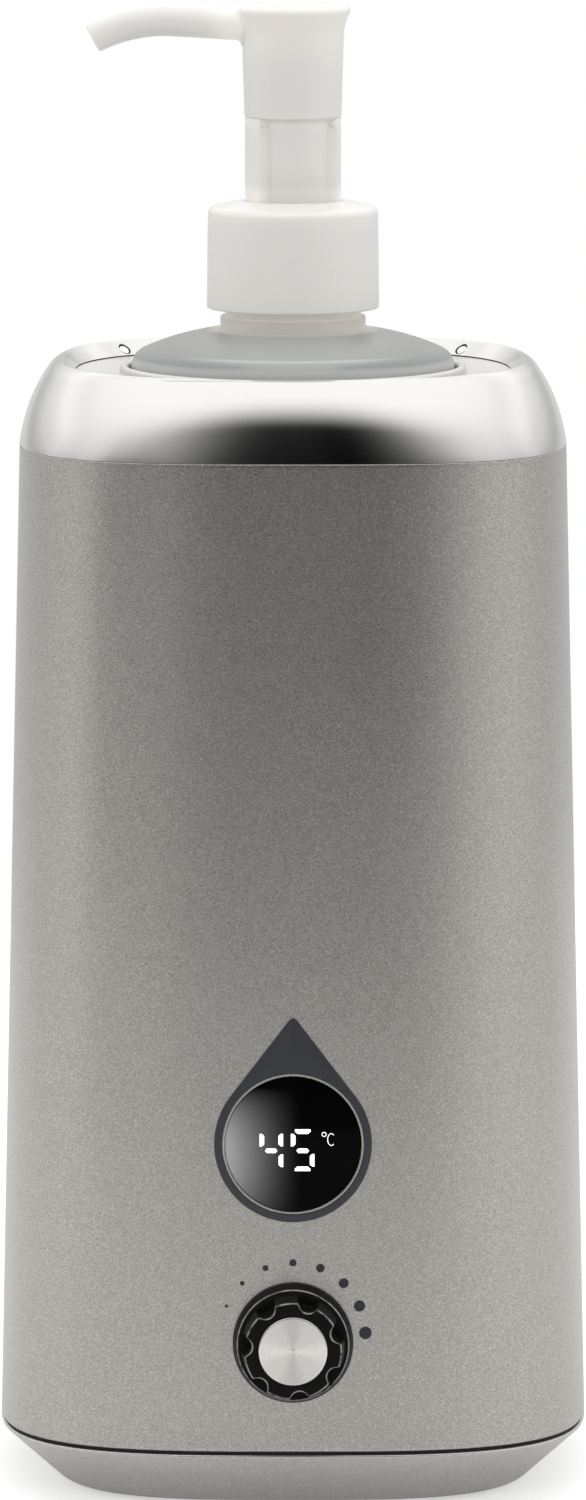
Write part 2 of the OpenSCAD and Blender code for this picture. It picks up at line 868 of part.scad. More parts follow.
// Power board with its coil, capacitors, switch and connectors
module power_board() {
    top = power_board_z + board_t;
    color([0.08, 0.32, 0.16]) union() {
        difference() {
            translate([-power_board_w / 2, -power_board_d / 2, power_board_z])
                cube([power_board_w, power_board_d, board_t]);
            for (p = power_standoffs())
                translate([p[0], p[1], power_board_z - weld])
                    cylinder(r = board_screw_r + hole_gap, h = board_t + 2 * weld);
        }
        translate([coil_x - coil_w / 2, -coil_d / 2, top - weld])
            cube([coil_w, coil_d, coil_h + weld]);
        for (side = [-1, 1])
            translate([capacitor_x, side * capacitor_y, top - weld])
                cylinder(r = capacitor_r, h = capacitor_h + weld);
        translate([switch_x - switch_w / 2, -switch_d / 2, top - weld])
            cube([switch_w, switch_d, switch_h + weld]);
        translate([-heater_plug_w / 2, power_board_d / 2 - plug_edge - plug_d, top - weld])
            cube([heater_plug_w, plug_d, plug_h + weld]);
        translate([-board_plug_w / 2, plug_edge - power_board_d / 2, top - weld])
            cube([board_plug_w, plug_d, plug_h + weld]);
    }
}

// Control board behind the front wall, with its chip, resistors and connector
module control_board() {
    low = board_low;
    high = display_rise + board_high + 2 * standoff_margin;
    color([0.08, 0.32, 0.16]) on_front() union() {
        difference() {
            translate([-board_w / 2, low, -board_depth - board_t])
                cube([board_w, high - low, board_t]);
            for (p = standoffs())
                translate([p[0], p[1], -board_depth - board_t - weld])
                    cylinder(r = board_screw_r + hole_gap, h = board_t + 2 * weld);
        }
        translate([-chip_w / 2, (display_rise - chip_w) / 2, -board_depth - board_t - chip_t])
            cube([chip_w, chip_w, chip_t + weld]);
        for (i = [-2 : 2])
            translate([
                i * resistor_step - resistor_w / 2,
                display_rise / 2 + resistor_rise - resistor_l / 2,
                -board_depth - board_t - resistor_t
            ])
                cube([resistor_w, resistor_l, resistor_t + weld]);
        translate([-board_plug_w / 2, low + plug_edge, -board_depth - board_t - plug_h])
            cube([board_plug_w, plug_d, plug_h + weld]);
    }
}

// Screws of both boards
module board_screws() {
    color([0.6, 0.6, 0.62]) union() {
        on_front()
            for (p = standoffs())
                translate([p[0], p[1], -board_depth - board_t])
                    screw(board_screw_r, board_head_r, board_head_h, board_screw_length);
        for (p = power_standoffs())
            translate([p[0], p[1], power_board_z + board_t])
                rotate([180, 0, 0])
                    screw(board_screw_r, board_head_r, board_head_h, board_screw_length - weld);
    }
}

// Two-digit light module on the control board, behind the glass
module display_module() {
    module_w = 17;
    module_h = 13;
    digit_w = 5.4;
    digit_h = 9;
    digit_gap = 1.2;
    front = -shell_wall - pot_gap;
    color([0.12, 0.12, 0.13]) on_front() translate([0, display_rise, 0]) difference() {
        translate([-module_w / 2, -module_h / 2, -board_depth])
            cube([module_w, module_h, board_depth + front]);
        for (side = [-1, 1])
            translate([side * (digit_w + digit_gap) / 2 - digit_w / 2, -digit_h / 2, front - 0.5])
                cube([digit_w, digit_h, 1]);
    }
}

// Dark teardrop inlay round the glass
module display_bezel() {
    color([0.22, 0.23, 0.24]) on_front() translate([0, display_rise, -inlay_seat]) difference() {
        linear_extrude(inlay_seat + inlay_proud)
            polygon(teardrop(drop_r, drop_tip, drop_tip_r));
        translate([0, 0, -weld])
            cylinder(r = lens_r + trim_w + 2 * run_gap, h = inlay_seat + inlay_proud + 2 * weld);
    }
}

// Thin bright ring between inlay and glass, with a rounded edge
module display_trim_ring() {
    inner = lens_r + run_gap;
    crest = inlay_proud + 0.15;
    color([0.8, 0.8, 0.8]) on_front() translate([0, display_rise, 0]) rotate_extrude()
        polygon(concat(
            [[inner, -inlay_seat], [inner + trim_w, -inlay_seat]],
            arc(inner + trim_w / 2, crest - trim_w / 2, trim_w / 2, 0, 180)
        ));
}

// Round black glass, with a bevelled edge
module display_lens() {
    bevel = 0.2;
    face = inlay_proud + 0.05;
    color([0.02, 0.02, 0.02]) on_front() translate([0, display_rise, 0]) rotate_extrude()
        polygon([
            [0, -inlay_seat], [lens_r, -inlay_seat],
            [lens_r, face - bevel], [lens_r - bevel, face], [0, face]
        ]);
}

// Potentiometer on the control board, with its bushing through the front wall
module potentiometer() {
    front = -shell_wall - pot_gap;
    bushing_top = washer_t + nut_t + 0.5;
    color([0.55, 0.55, 0.57]) on_front() difference() {
        union() {
            translate([0, 0, -board_depth])
                cylinder(r = pot_r, h = board_depth + front);
            translate([0, 0, front - weld])
                cylinder(r = bushing_r, h = bushing_top - front + weld);
        }
        translate([0, 0, -board_depth + 1.5])
            cylinder(r = shaft_r + run_gap, h = board_depth + bushing_top);
    }
}

// Washer under the potentiometer's nut
module pot_washer() {
    color([0.7, 0.7, 0.72])
        on_front()
            pipe(washer_r, bushing_r + run_gap, washer_t);
}

// Hexagon nut on the bushing
module pot_nut() {
    color([0.7, 0.7, 0.72]) on_front() translate([0, 0, washer_t]) difference() {
        cylinder(r = nut_r, h = nut_t, $fn = 6);
        translate([0, 0, -weld])
            cylinder(r = bushing_r + run_gap, h = nut_t + 2 * weld);
    }
}

// Section of the flat-sided shaft end, or of the hole that takes it
module shaft_end(gap, low, high) {
    difference() {
        translate([0, 0, low])
            cylinder(r = shaft_r + gap, h = high - low);
        translate([-2 * shaft_r, shaft_flat + gap, low - weld])
            cube([4 * shaft_r, 2 * shaft_r, high - low + 2 * weld]);
    }
}

// Potentiometer shaft with a flat on its end
module pot_shaft() {
    flat_z = knob_hub_z - slide_gap;
    low = -board_depth + 1.6;
    color([0.75, 0.75, 0.77]) on_front() union() {
        translate([0, 0, low])
            cylinder(r = shaft_r, h = flat_z - low);
        shaft_end(0, flat_z - weld, shaft_top);
    }
}

// Knob with a tapered skirt, a scalloped grip, a hollow back and a seat for its disc
module knob() {
    lip = 0.35;
    edge = 0.5;
    notch_x = grip_top_r - scallop_depth + scallop_r;
    notch_step = 0.25;
    cap_floor = knob_h + cap_proud - cap_t;
    hub_r = shaft_r + 2;
    cavity_top = cap_floor - 1.4;
    color([0.07, 0.07, 0.07]) on_front() difference() {
        union() {
            difference() {
                rotate_extrude()
                    polygon(concat(
                        [[knob_cavity_r, knob_gap], [knob_r - lip, knob_gap], [knob_r, knob_gap + lip]],
                        [[skirt_r, skirt_h - lip], [skirt_r - lip, skirt_h], [grip_r, skirt_h]],
                        arc(grip_top_r - edge, knob_h - edge, edge, 0, 90, 4),
                        [[0, knob_h], [0, cavity_top], [knob_cavity_r, cavity_top]]
                    ));
                for (i = [0 : scallops - 1])
                    rotate([0, 0, 90 + 360 * (i + 0.65) / scallops])
                        translate([notch_x, 0, skirt_h + notch_step])
                            cylinder(r = scallop_r, h = knob_h);
            }
            translate([0, 0, knob_hub_z])
                cylinder(r = hub_r, h = cavity_top - knob_hub_z + weld);
        }
        shaft_end(run_gap, knob_hub_z - weld, shaft_top + seat_gap);
        translate([0, 0, cap_floor])
            cylinder(r = cap_r + run_gap, h = cap_t);
    }
}

// Turned disc in the knob's face
module knob_cap() {
    bevel = 0.15;
    low = knob_h + cap_proud - cap_t;
    face = knob_h + cap_proud;
    color([0.82, 0.82, 0.82]) on_front() rotate_extrude()
        polygon([[0, low], [cap_r, low], [cap_r, face - bevel], [cap_r - bevel, face], [0, face]]);
}

// Round power socket in the rear wall, with its pin and two soldering blades
module power_inlet() {
    edge = 0.4;
    color([0.06, 0.06, 0.06]) on_rear() union() {
        difference() {
            rotate_extrude()
                polygon([
                    [0, -inlet_depth], [inlet_body_r, -inlet_depth], [inlet_body_r, 0], [inlet_rim_r, 0],
                    [inlet_rim_r, inlet_rim_t - edge], [inlet_rim_r - edge, inlet_rim_t], [0, inlet_rim_t]
                ]);
            translate([0, 0, inlet_rim_t - socket_depth])
                cylinder(r = socket_r, h = socket_depth + weld);
        }
        translate([0, 0, inlet_rim_t - socket_depth - weld])
            cylinder(r = socket_pin_r, h = socket_depth - 1.4 + weld);
        for (side = [-1, 1])
            translate([side * blade_x - blade_w / 2, -blade_t / 2, -inlet_depth - blade_l])
                cube([blade_w, blade_t, blade_l + weld]);
    }
}

// Nut behind the rear wall
module inlet_nut() {
    color([0.1, 0.1, 0.1]) on_rear() translate([0, 0, -shell_wall - seat_gap - inlet_nut_t]) difference() {
        cylinder(r = inlet_nut_r, h = inlet_nut_t, $fn = 6);
        translate([0, 0, -weld])
            cylinder(r = inlet_body_r + run_gap, h = inlet_nut_t + 2 * weld);
    }
}

// Leads from the heater and the inlet to the power board, and the cable between the boards
module wiring() {
    lead_r = 0.8;
    cable_r = 1.5;
    lead_turn = 14;
    lead_place = cup_outer_r + 2 * seat_gap + lead_r;
    lead_x = lead_place * sin(lead_turn);
    lead_y = lead_place * cos(lead_turn);
    plug_low = power_board_z + board_t;
    plug_rear = power_board_d / 2 - plug_edge + seat_gap;
    plug_mid = power_board_d / 2 - plug_edge - plug_d / 2;
    back = inlet_depth + blade_l + seat_gap;
    inlet_end = [0, half_at(inlet_z) - back * cos(draft), inlet_z - back * sin(draft)];
    deep = board_depth + board_t + plug_h + seat_gap + slide_gap;
    rise = board_low + plug_edge + plug_d / 2;
    board_end = [
        0,
        -half_at(knob_z) + deep * cos(draft) + rise * sin(draft),
        knob_z - deep * sin(draft) + rise * cos(draft)
    ];
    color([0.55, 0.12, 0.1]) union() {
        for (side = [-1, 1]) {
            corner = [side * lead_x, lead_y, plug_low + plug_h / 2];
            rod([side * lead_x, lead_y, heater_z - seat_gap], corner, lead_r);
            rod(corner, [side * lead_x, plug_rear, plug_low + plug_h / 2], lead_r);
            translate(corner)
                sphere(r = lead_r * 1.3);
            rod(
                inlet_end + [side * blade_x, 0, 0],
                [side * blade_x, plug_mid, plug_low + plug_h + seat_gap + lead_r],
                lead_r
            );
        }
        rod(board_end, [0, -plug_mid, plug_low + plug_h + seat_gap + cable_r], cable_r);
    }
}

// Bottle with a pushed-up foot, a rounded shoulder, a bead and a plain neck
module bottle() {
    push_r = bottle_r - foot_corner_r - 3;
    rim = 0.5;
    inner_r = bottle_r - bottle_wall;
    inner_corner = foot_corner_r - bottle_wall;
    inner_floor_z = well_z + bottle_wall;
    inner_crown_r = crown_r - bottle_wall;
    bore_turn = acos((neck_bore_r - crown_x) / inner_crown_r);
    outer = concat(
        [[0, well_z + bottle_push], [push_r, well_z + bottle_push * 0.4], [push_r + 1.5, well_z]],
        arc(bottle_r - foot_corner_r, well_z + foot_corner_r, foot_corner_r, -90, 0),
        arc(edge_x, side_top_z, shoulder_r, 0, edge_turn),
        arc(crown_x, crown_z, crown_r, edge_turn + 2, crown_turn),
        [[bead_r, neck_z + bead_step]],
        arc(bead_r - bead_edge, neck_z + bead_h - bead_edge, bead_edge, 0, 90, 4),
        [[neck_r, neck_z + bead_h], [neck_r, neck_top_z - rim], [neck_r - rim, neck_top_z]]
    );
    inner = concat(
        [[neck_bore_r, neck_top_z]],
        arc(crown_x, crown_z, inner_crown_r, bore_turn, edge_turn),
        arc(edge_x, side_top_z, shoulder_r - bottle_wall, edge_turn - 6, 0),
        arc(inner_r - inner_corner, inner_floor_z + inner_corner, inner_corner, 0, -90),
        [[push_r + 1.5, inner_floor_z], [push_r, inner_floor_z + bottle_push * 0.4]],
        [[0, inner_floor_z + bottle_push]]
    );
    color([0.78, 0.8, 0.8, 0.6])
        rotate_extrude()
            polygon(concat(outer, inner));
}

// Gasket between the neck and the pump's flange
module neck_gasket() {
    color([0.9, 0.9, 0.88])
        translate([0, 0, neck_top_z])
            pipe(neck_r - 0.2, neck_bore_r + 0.2, gasket_t);
}

// Smooth screw closure with a crowned top and a hole for the sleeve
module pump_closure() {
    edge = 1.4;
    hole_r = sleeve_r + slide_gap;
    foot = 0.3;
    color([0.95, 0.94, 0.92]) rotate_extrude()
        polygon(concat(
            [[closure_bore_r, plate_z - closure_skirt], [closure_r - foot, plate_z - closure_skirt]],
            [[closure_r, plate_z - closure_skirt + foot]],
            arc(closure_top_r - edge, closure_edge_z - edge, edge, 0, 84),
            [[hole_r, crown_top_z], [hole_r, plate_z], [closure_bore_r, plate_z]]
        ));
}

// Pump housing: flange, guide cup, chamber, valve seat and the socket for the dip tube
module pump_housing() {
    color([0.93, 0.93, 0.9]) rotate_extrude()
        polygon([
            [pump_cup_r, plate_z], [pump_flange_r, plate_z],
            [pump_flange_r, plate_z - pump_flange_t], [pump_cup_outer_r, plate_z - pump_flange_t],
            [pump_cup_outer_r, guide_z], [chamber_outer_r, guide_z - 3],
            [chamber_outer_r, cage_z], [tail_r, valve_z],
            [tail_r, tail_top_z - tail_h], [dip_r + run_gap, tail_top_z - tail_h],
            [dip_r + run_gap, tail_top_z], [valve_r, tail_top_z],
            [valve_r, valve_z], [cage_r, cage_z],
            [cage_r, chamber_z], [chamber_r, chamber_z],
            [chamber_r, guide_z], [pump_cup_r, guide_z]
        ]);
}

// Ring in the guide cup that guides the stem and stops the piston
module stem_guide() {
    color([0.93, 0.93, 0.9])
        translate([0, 0, guide_z])
            pipe(pump_cup_r - run_gap, stem_r + slide_gap, guide_t);
}

// Valve ball on its seat
module valve_ball() {
    color([0.75, 0.75, 0.77])
        translate([0, 0, ball_z])
            sphere(r = ball_r);
}

// Dip tube, with its end cut at a slant
module dip_tube() {
    color([0.92, 0.92, 0.9]) difference() {
        translate([0, 0, dip_low_z])
            pipe(dip_r, dip_r - dip_wall, tail_top_z - seat_gap - dip_low_z);
        translate([0, 0, dip_low_z])
            rotate([0, 45, 0])
                translate([-4 * dip_r, -2 * dip_r, -4 * dip_r])
                    cube([8 * dip_r, 4 * dip_r, 4 * dip_r]);
    }
}

// Return spring in the chamber, as one tube along a helix
module pump_spring() {
    turn_steps = 12;
    sides = 6;
    rings = spring_turns * turn_steps;
    rise = (spring_high_z - spring_low_z) / rings;
    points = [
        for (i = [0 : rings])
            let (turn = 360 * i / turn_steps)
            for (k = [0 : sides - 1])
                let (
                    side = 360 * k / sides,
                    r = spring_r + wire_r * cos(side)
                )
                [r * cos(turn), r * sin(turn), spring_low_z + rise * i + wire_r * sin(side)]
    ];
    faces = concat(
        [[for (k = [0 : sides - 1]) k]],
        [
            for (i = [0 : rings - 1])
                for (k = [0 : sides - 1])
                    let (
                        a = i * sides + k,
                        b = i * sides + (k + 1) % sides
                    )
                    each [[a, a + sides, b + sides], [a, b + sides, b]]
        ],
        [[for (k = [sides - 1 : -1 : 0]) rings * sides + k]]
    );
    color([0.7, 0.7, 0.72])
        polyhedron(points, faces, convexity = 8);
}

// Hollow stem with a foot under the piston and two inlet holes above it
module pump_stem() {
    top = socket_top_z - seat_gap;
    port_z = piston_z + piston_h * 0.5;
    color([0.93, 0.93, 0.9]) difference() {
        union() {
            translate([0, 0, stem_foot_z])
                cylinder(r = stem_foot_r, h = stem_foot_h);
            translate([0, 0, stem_foot_z])
                cylinder(r = stem_r, h = top - stem_foot_z);
        }
        translate([0, 0, port_z])
            cylinder(r = stem_bore_r, h = top - port_z + weld);
        translate([0, 0, port_z])
            rotate([0, 90, 0])
                cylinder(r = stem_bore_r * 0.6, h = 4 * stem_r, center = true);
    }
}

// Piston with a sealing lip at each end
module piston() {
    lip_r = chamber_r - run_gap;
    waist_r = chamber_r - 0.6;
    lip_h = 1.2;
    bore = stem_r + run_gap / 2;
    color([0.85, 0.85, 0.86]) translate([0, 0, piston_z]) rotate_extrude()
        polygon([
            [bore, 0], [lip_r, 0], [lip_r, lip_h], [waist_r, 2 * lip_h],
            [waist_r, piston_h - 2 * lip_h], [lip_r, piston_h - lip_h], [lip_r, piston_h], [bore, piston_h]
        ]);
}

// Guide sleeve below the head: a round core in a wall that is cut flat at the front
module pump_sleeve() {
    nub_r = 0.6;
    lip_out = sqrt(pow(sleeve_r, 2) - pow(sleeve_flat, 2));
    lip_in = sqrt(pow(sleeve_core_r, 2) - pow(sleeve_flat, 2));
    lip_mid = (lip_out + lip_in) / 2;
    spigot_r = head_cavity_r - run_gap;
    color([0.94, 0.93, 0.9]) rotate([0, 0, sleeve_turn - 90]) difference() {
        union() {
            translate([0, 0, sleeve_z])
                cylinder(r = sleeve_core_r, h = head_z - sleeve_z);
            translate([0, 0, head_z - weld])
                cylinder(r = spigot_r, h = spigot_h + weld);
            difference() {
                translate([0, 0, sleeve_z])
                    cylinder(r = sleeve_r, h = head_z - sleeve_z);
                translate([sleeve_flat, -2 * sleeve_r, sleeve_z - weld])
                    cube([sleeve_r, 4 * sleeve_r, head_z - sleeve_z + 2 * weld]);
            }
            for (side = [-1, 1])
                translate([sleeve_flat - nub_r / 3, side * lip_mid, head_z - 2 * nub_r])
                    sphere(r = nub_r);
        }
        translate([0, 0, sleeve_z - weld])
            cylinder(r = sleeve_bore_r, h = head_z - sleeve_z + spigot_h + 2 * weld);
    }
}

// The spout's path as a round bar: a straight run from the axis and a bend
module spout_path(r, bend) {
    translate([0, 0, spout_z])
        rotate([0, spout_rise - 90, 0]) {
            cylinder(r = r, h = spout_run);
            translate([-spout_bend_r, 0, spout_run])
                rotate([90, 0, 0])
                    rotate_extrude(angle = bend)
                        translate([spout_bend_r, 0])
                            circle(r = r);
        }
}

// Pump head with a flared rim, a hollow skirt, a socket for the stem and a drooping spout
module pump_head() {
    flare_z = head_top_z - 6;
    edge = 1.2;
    rim_z = head_top_z - edge;
    foot = 0.4;
    dish = 0.4;
    color([0.95, 0.94, 0.92]) difference() {
        union() {
            rotate_extrude()
                polygon(concat(
                    [[0, head_z], [head_foot_r - foot, head_z], [head_foot_r, head_z + foot]],
                    [[head_r, flare_z]],
                    [[head_r + (rim_r - head_r) * 0.35, flare_z + (rim_z - flare_z) * 0.5]],
                    arc(rim_r - edge, rim_z, edge, 0, 90, 6),
                    [[rim_r - 2 * edge, rim_z + edge], [0, rim_z + edge - dish]]
                ));
            spout_path(spout_r, spout_bend);
        }
        translate([0, 0, head_z - weld])
            difference() {
                cylinder(r = head_cavity_r, h = skirt_depth + weld);
                translate([0, 0, 1.5])
                    cylinder(r = socket_outer_r, h = skirt_depth);
            }
        translate([0, 0, head_z - weld])
            cylinder(r = stem_r + run_gap, h = socket_top_z - head_z + weld);
        translate([0, 0, socket_top_z - weld])
            cylinder(r = channel_r + slide_gap, h = spout_z - socket_top_z + weld);
        spout_path(channel_r, spout_bend + 1);
    }
}

outer_shell();
top_ring();
ring_pins();
heating_cup();
heater_film();
insulation_sleeve();
thermostat();
thermal_fuse();
thermistor();
seam_gasket();
base_tray();
rubber_feet();
base_screws();
power_board();
control_board();
board_screws();
display_module();
display_bezel();
display_trim_ring();
display_lens();
potentiometer();
pot_washer();
pot_nut();
pot_shaft();
knob();
knob_cap();
power_inlet();
inlet_nut();
wiring();
bottle();
neck_gasket();
pump_closure();
pump_housing();
stem_guide();
valve_ball();
dip_tube();
pump_spring();
pump_stem();
piston();
pump_sleeve();
pump_head();
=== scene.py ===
"""Massage oil warmer: finishes, fine shapes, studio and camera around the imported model.

The sub-assemblies hold their sizes in millimetres. The studio and the places in the finishes are in
metres. The model's frame has +Z up, the front faces -Y and the spout points to -X.
"""

import json
import logging
import math
from dataclasses import dataclass, replace
from enum import Enum
from typing import Any, Iterable, Sequence

import bmesh
import bpy
from mathutils import Matrix, Vector


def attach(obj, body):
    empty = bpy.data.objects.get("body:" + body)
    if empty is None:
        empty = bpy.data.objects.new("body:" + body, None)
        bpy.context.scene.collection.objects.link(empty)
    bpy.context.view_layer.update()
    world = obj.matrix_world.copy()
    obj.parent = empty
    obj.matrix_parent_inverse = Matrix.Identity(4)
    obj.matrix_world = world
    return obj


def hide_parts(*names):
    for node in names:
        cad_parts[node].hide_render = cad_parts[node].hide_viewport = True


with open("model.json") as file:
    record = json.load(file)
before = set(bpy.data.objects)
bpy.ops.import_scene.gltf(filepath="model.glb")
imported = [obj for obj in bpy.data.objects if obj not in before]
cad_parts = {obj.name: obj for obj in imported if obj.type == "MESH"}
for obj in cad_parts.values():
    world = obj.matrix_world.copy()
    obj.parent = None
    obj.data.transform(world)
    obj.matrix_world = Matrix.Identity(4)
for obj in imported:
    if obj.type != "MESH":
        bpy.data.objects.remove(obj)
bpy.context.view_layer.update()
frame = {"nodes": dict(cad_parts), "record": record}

LOG = logging.getLogger("oil_warmer")
MM = 0.001
WELD = 1e-7
TURN_STEPS = 128
PLAN_STEPS = 256
CLOUD_DETAIL = 3.0
PAINTED_LIGHT_ATTRIBUTE = "painted_light"
WHITE = (1.0, 1.0, 1.0, 1.0)

Piece = bpy.types.Object
Point = tuple[float, float, float]
Pair = tuple[float, float]
Ring = list[Point]
Colour = tuple[float, float, float]
PaintedGlow = tuple[Point, Point, float]


class Body(Enum):
    """The moving bodies that a new piece can ride on."""

    HOUSING = "housing"
    BOTTLE = "bottle"
    COLLAR = "collar"
    HEAD = "pump_head"
    KNOB = "knob"


class Bar(Enum):
    """Bars of a lit digit: how much shorter the inner and the outer edge are."""

    EDGE = (0.34, 0.0)
    MIDDLE = (0.3, 0.3)


def srgb(*channels: int) -> Colour:
    """Turns a display colour, 0 to 255, into the linear colour that the shaders take."""
    shares = [value / 255 for value in channels]
    return tuple(s / 12.92 if s <= 0.04045 else ((s + 0.055) / 1.055) ** 2.4 for s in shares)


def turns(count: int) -> list[float]:
    """Equal angles round a full turn, in radians."""
    return [2 * math.pi * i / count for i in range(count)]


def arc(x: float, y: float, r: float, start: float, end: float, steps: int = 8) -> list[Pair]:
    """Points of an arc about a centre, from one angle to another, in degrees, in a number of steps."""
    angles = (math.radians(start + (end - start) * i / steps) for i in range(steps + 1))
    return [(x + r * math.cos(t), y + r * math.sin(t)) for t in angles]


def soft_least(first: float, second: float, reach: float) -> float:
    """The smaller of two values, rounded off where they are closer than a reach."""
    share = min(1.0, max(0.0, 0.5 + 0.5 * (second - first) / reach))
    return second + (first - second) * share - reach * share * (1 - share)


def plan_ring(half: float, power: float, z: float) -> Ring:
    """One level of the square-round housing.

    Args:
        half: Half width of the plan.
        power: Squareness of the plan, where 2 is round.
        z: Height of the level.

    Returns:
        The points, counter-clockwise from the front.
    """
    ring = []
    for turn in turns(PLAN_STEPS):
        c, s = math.cos(turn - math.pi / 2), math.sin(turn - math.pi / 2)
        reach = half / (abs(c) ** power + abs(s) ** power) ** (1 / power)
        ring.append((reach * c, reach * s, z))
    return ring


def round_ring(r: float, z: float, count: int = TURN_STEPS) -> Ring:
    """A circle about the Z axis, counter-clockwise."""
    return [(r * math.cos(t), r * math.sin(t), z) for t in turns(count)]


def linked(name: str, data: bpy.types.ID) -> Piece:
    """Makes an object and puts it into the scene.

    Args:
        name: Its name.
        data: Its mesh, lamp or camera.

    Returns:
        The new object.
    """
    made = bpy.data.objects.new(name, data)
    bpy.context.scene.collection.objects.link(made)
    return made


def plain_mesh(piece: Piece) -> bpy.types.Mesh:
    """A piece's mesh as its modifiers leave it."""
    ready = piece.evaluated_get(bpy.context.evaluated_depsgraph_get())
    return bpy.data.meshes.new_from_object(ready)


def skin(name: str, rings: Sequence[Ring], loop: bool = False, caps: bool = False) -> Piece:
    """Makes a mesh from rings of points, up the outside and down the inside.

    Args:
        name: Name of the piece.
        rings: Rings with equally many points, in millimetres.
        loop: Whether the last ring joins the first.
        caps: Whether the first and last rings are closed flat.

    Returns:
        The new object.
    """
    count = len(rings[0])
    points = [tuple(c * MM for c in p) for ring in rings for p in ring]
    faces: list[tuple[int, ...]] = []
    for low in range(len(rings) if loop else len(rings) - 1):
        a, b = low * count, (low + 1) % len(rings) * count
        faces += [(a + i, a + (i + 1) % count, b + (i + 1) % count, b + i) for i in range(count)]
    if caps:
        last = (len(rings) - 1) * count
        faces += [tuple(reversed(range(count))), tuple(range(last, last + count))]
    mesh = bpy.data.meshes.new(name)
    mesh.from_pydata(points, [], faces)
    work = bmesh.new()
    work.from_mesh(mesh)
    bmesh.ops.remove_doubles(work, verts=work.verts, dist=WELD)
    work.to_mesh(mesh)
    work.free()
    return linked(name, mesh)


def lathe(name: str, profile: Sequence[Pair], loop: bool = False, count: int = TURN_STEPS) -> Piece:
    """Turns a profile of radius and height about the Z axis, as an open or a closed line."""
    return skin(name, [round_ring(r, z, count) for r, z in profile], loop=loop)


def joined(name: str, parts: Sequence[Piece]) -> Piece:
    """Makes one piece of several, which are removed.

    Args:
        name: Name of the piece.
        parts: The pieces that it is made of.

    Returns:
        The new object.
    """
    work = bmesh.new()
    for part in parts:
        work.from_mesh(part.data)
        bpy.data.objects.remove(part)
    mesh = bpy.data.meshes.new(name)
    work.to_mesh(mesh)
    work.free()
    return linked(name, mesh)


def mark(piece: Piece, marks: Iterable[bool]) -> None:
    """Marks the vertices that a finish colours apart, with painted light and shade."""
    wear = piece.data.attributes.new(PAINTED_LIGHT_ATTRIBUTE, "FLOAT", "POINT")
    wear.data.foreach_set("value", [float(marked) for marked in marks])


class Wire:
    """A shader value that takes part in Python arithmetic."""

    def __init__(self, graph: "Graph", socket: bpy.types.NodeSocket) -> None:
        """Wraps an output socket of a node in the graph."""
        self.graph = graph
        self.socket = socket

    def math(self, operation: str, other: "Wire | float" = 0.0, flip: bool = False) -> "Wire":
        """Adds a Math node, with the second value first where it is flipped."""
        first, second = (other, self) if flip else (self, other)
        return self.graph.wire("ShaderNodeMath", {"operation": operation}, {0: first, 1: second})

    def __add__(self, other: "Wire | float") -> "Wire":
        """Sum."""
        return self.math("ADD", other)

    def __sub__(self, other: "Wire | float") -> "Wire":
        """Difference."""
        return self.math("SUBTRACT", other)

    def __rsub__(self, other: float) -> "Wire":
        """Difference with a number on the left."""
        return self.math("SUBTRACT", other, flip=True)

    def __mul__(self, other: "Wire | float") -> "Wire":
        """Product."""
        return self.math("MULTIPLY", other)

    def __truediv__(self, other: "Wire | float") -> "Wire":
        """Quotient."""
        return self.math("DIVIDE", other)

    def __rtruediv__(self, other: float) -> "Wire":
        """Quotient with a number on the left."""
        return self.math("DIVIDE", other, flip=True)

    __radd__ = __add__
    __rmul__ = __mul__

    def ramp(self, low: float, high: float) -> "Wire":
        """Smooth step from 0 at low to 1 at high."""
        sockets = {0: self, 1: low, 2: high, 3: 0.0, 4: 1.0}
        return self.graph.wire("ShaderNodeMapRange", {"interpolation_type": "SMOOTHSTEP"}, sockets)


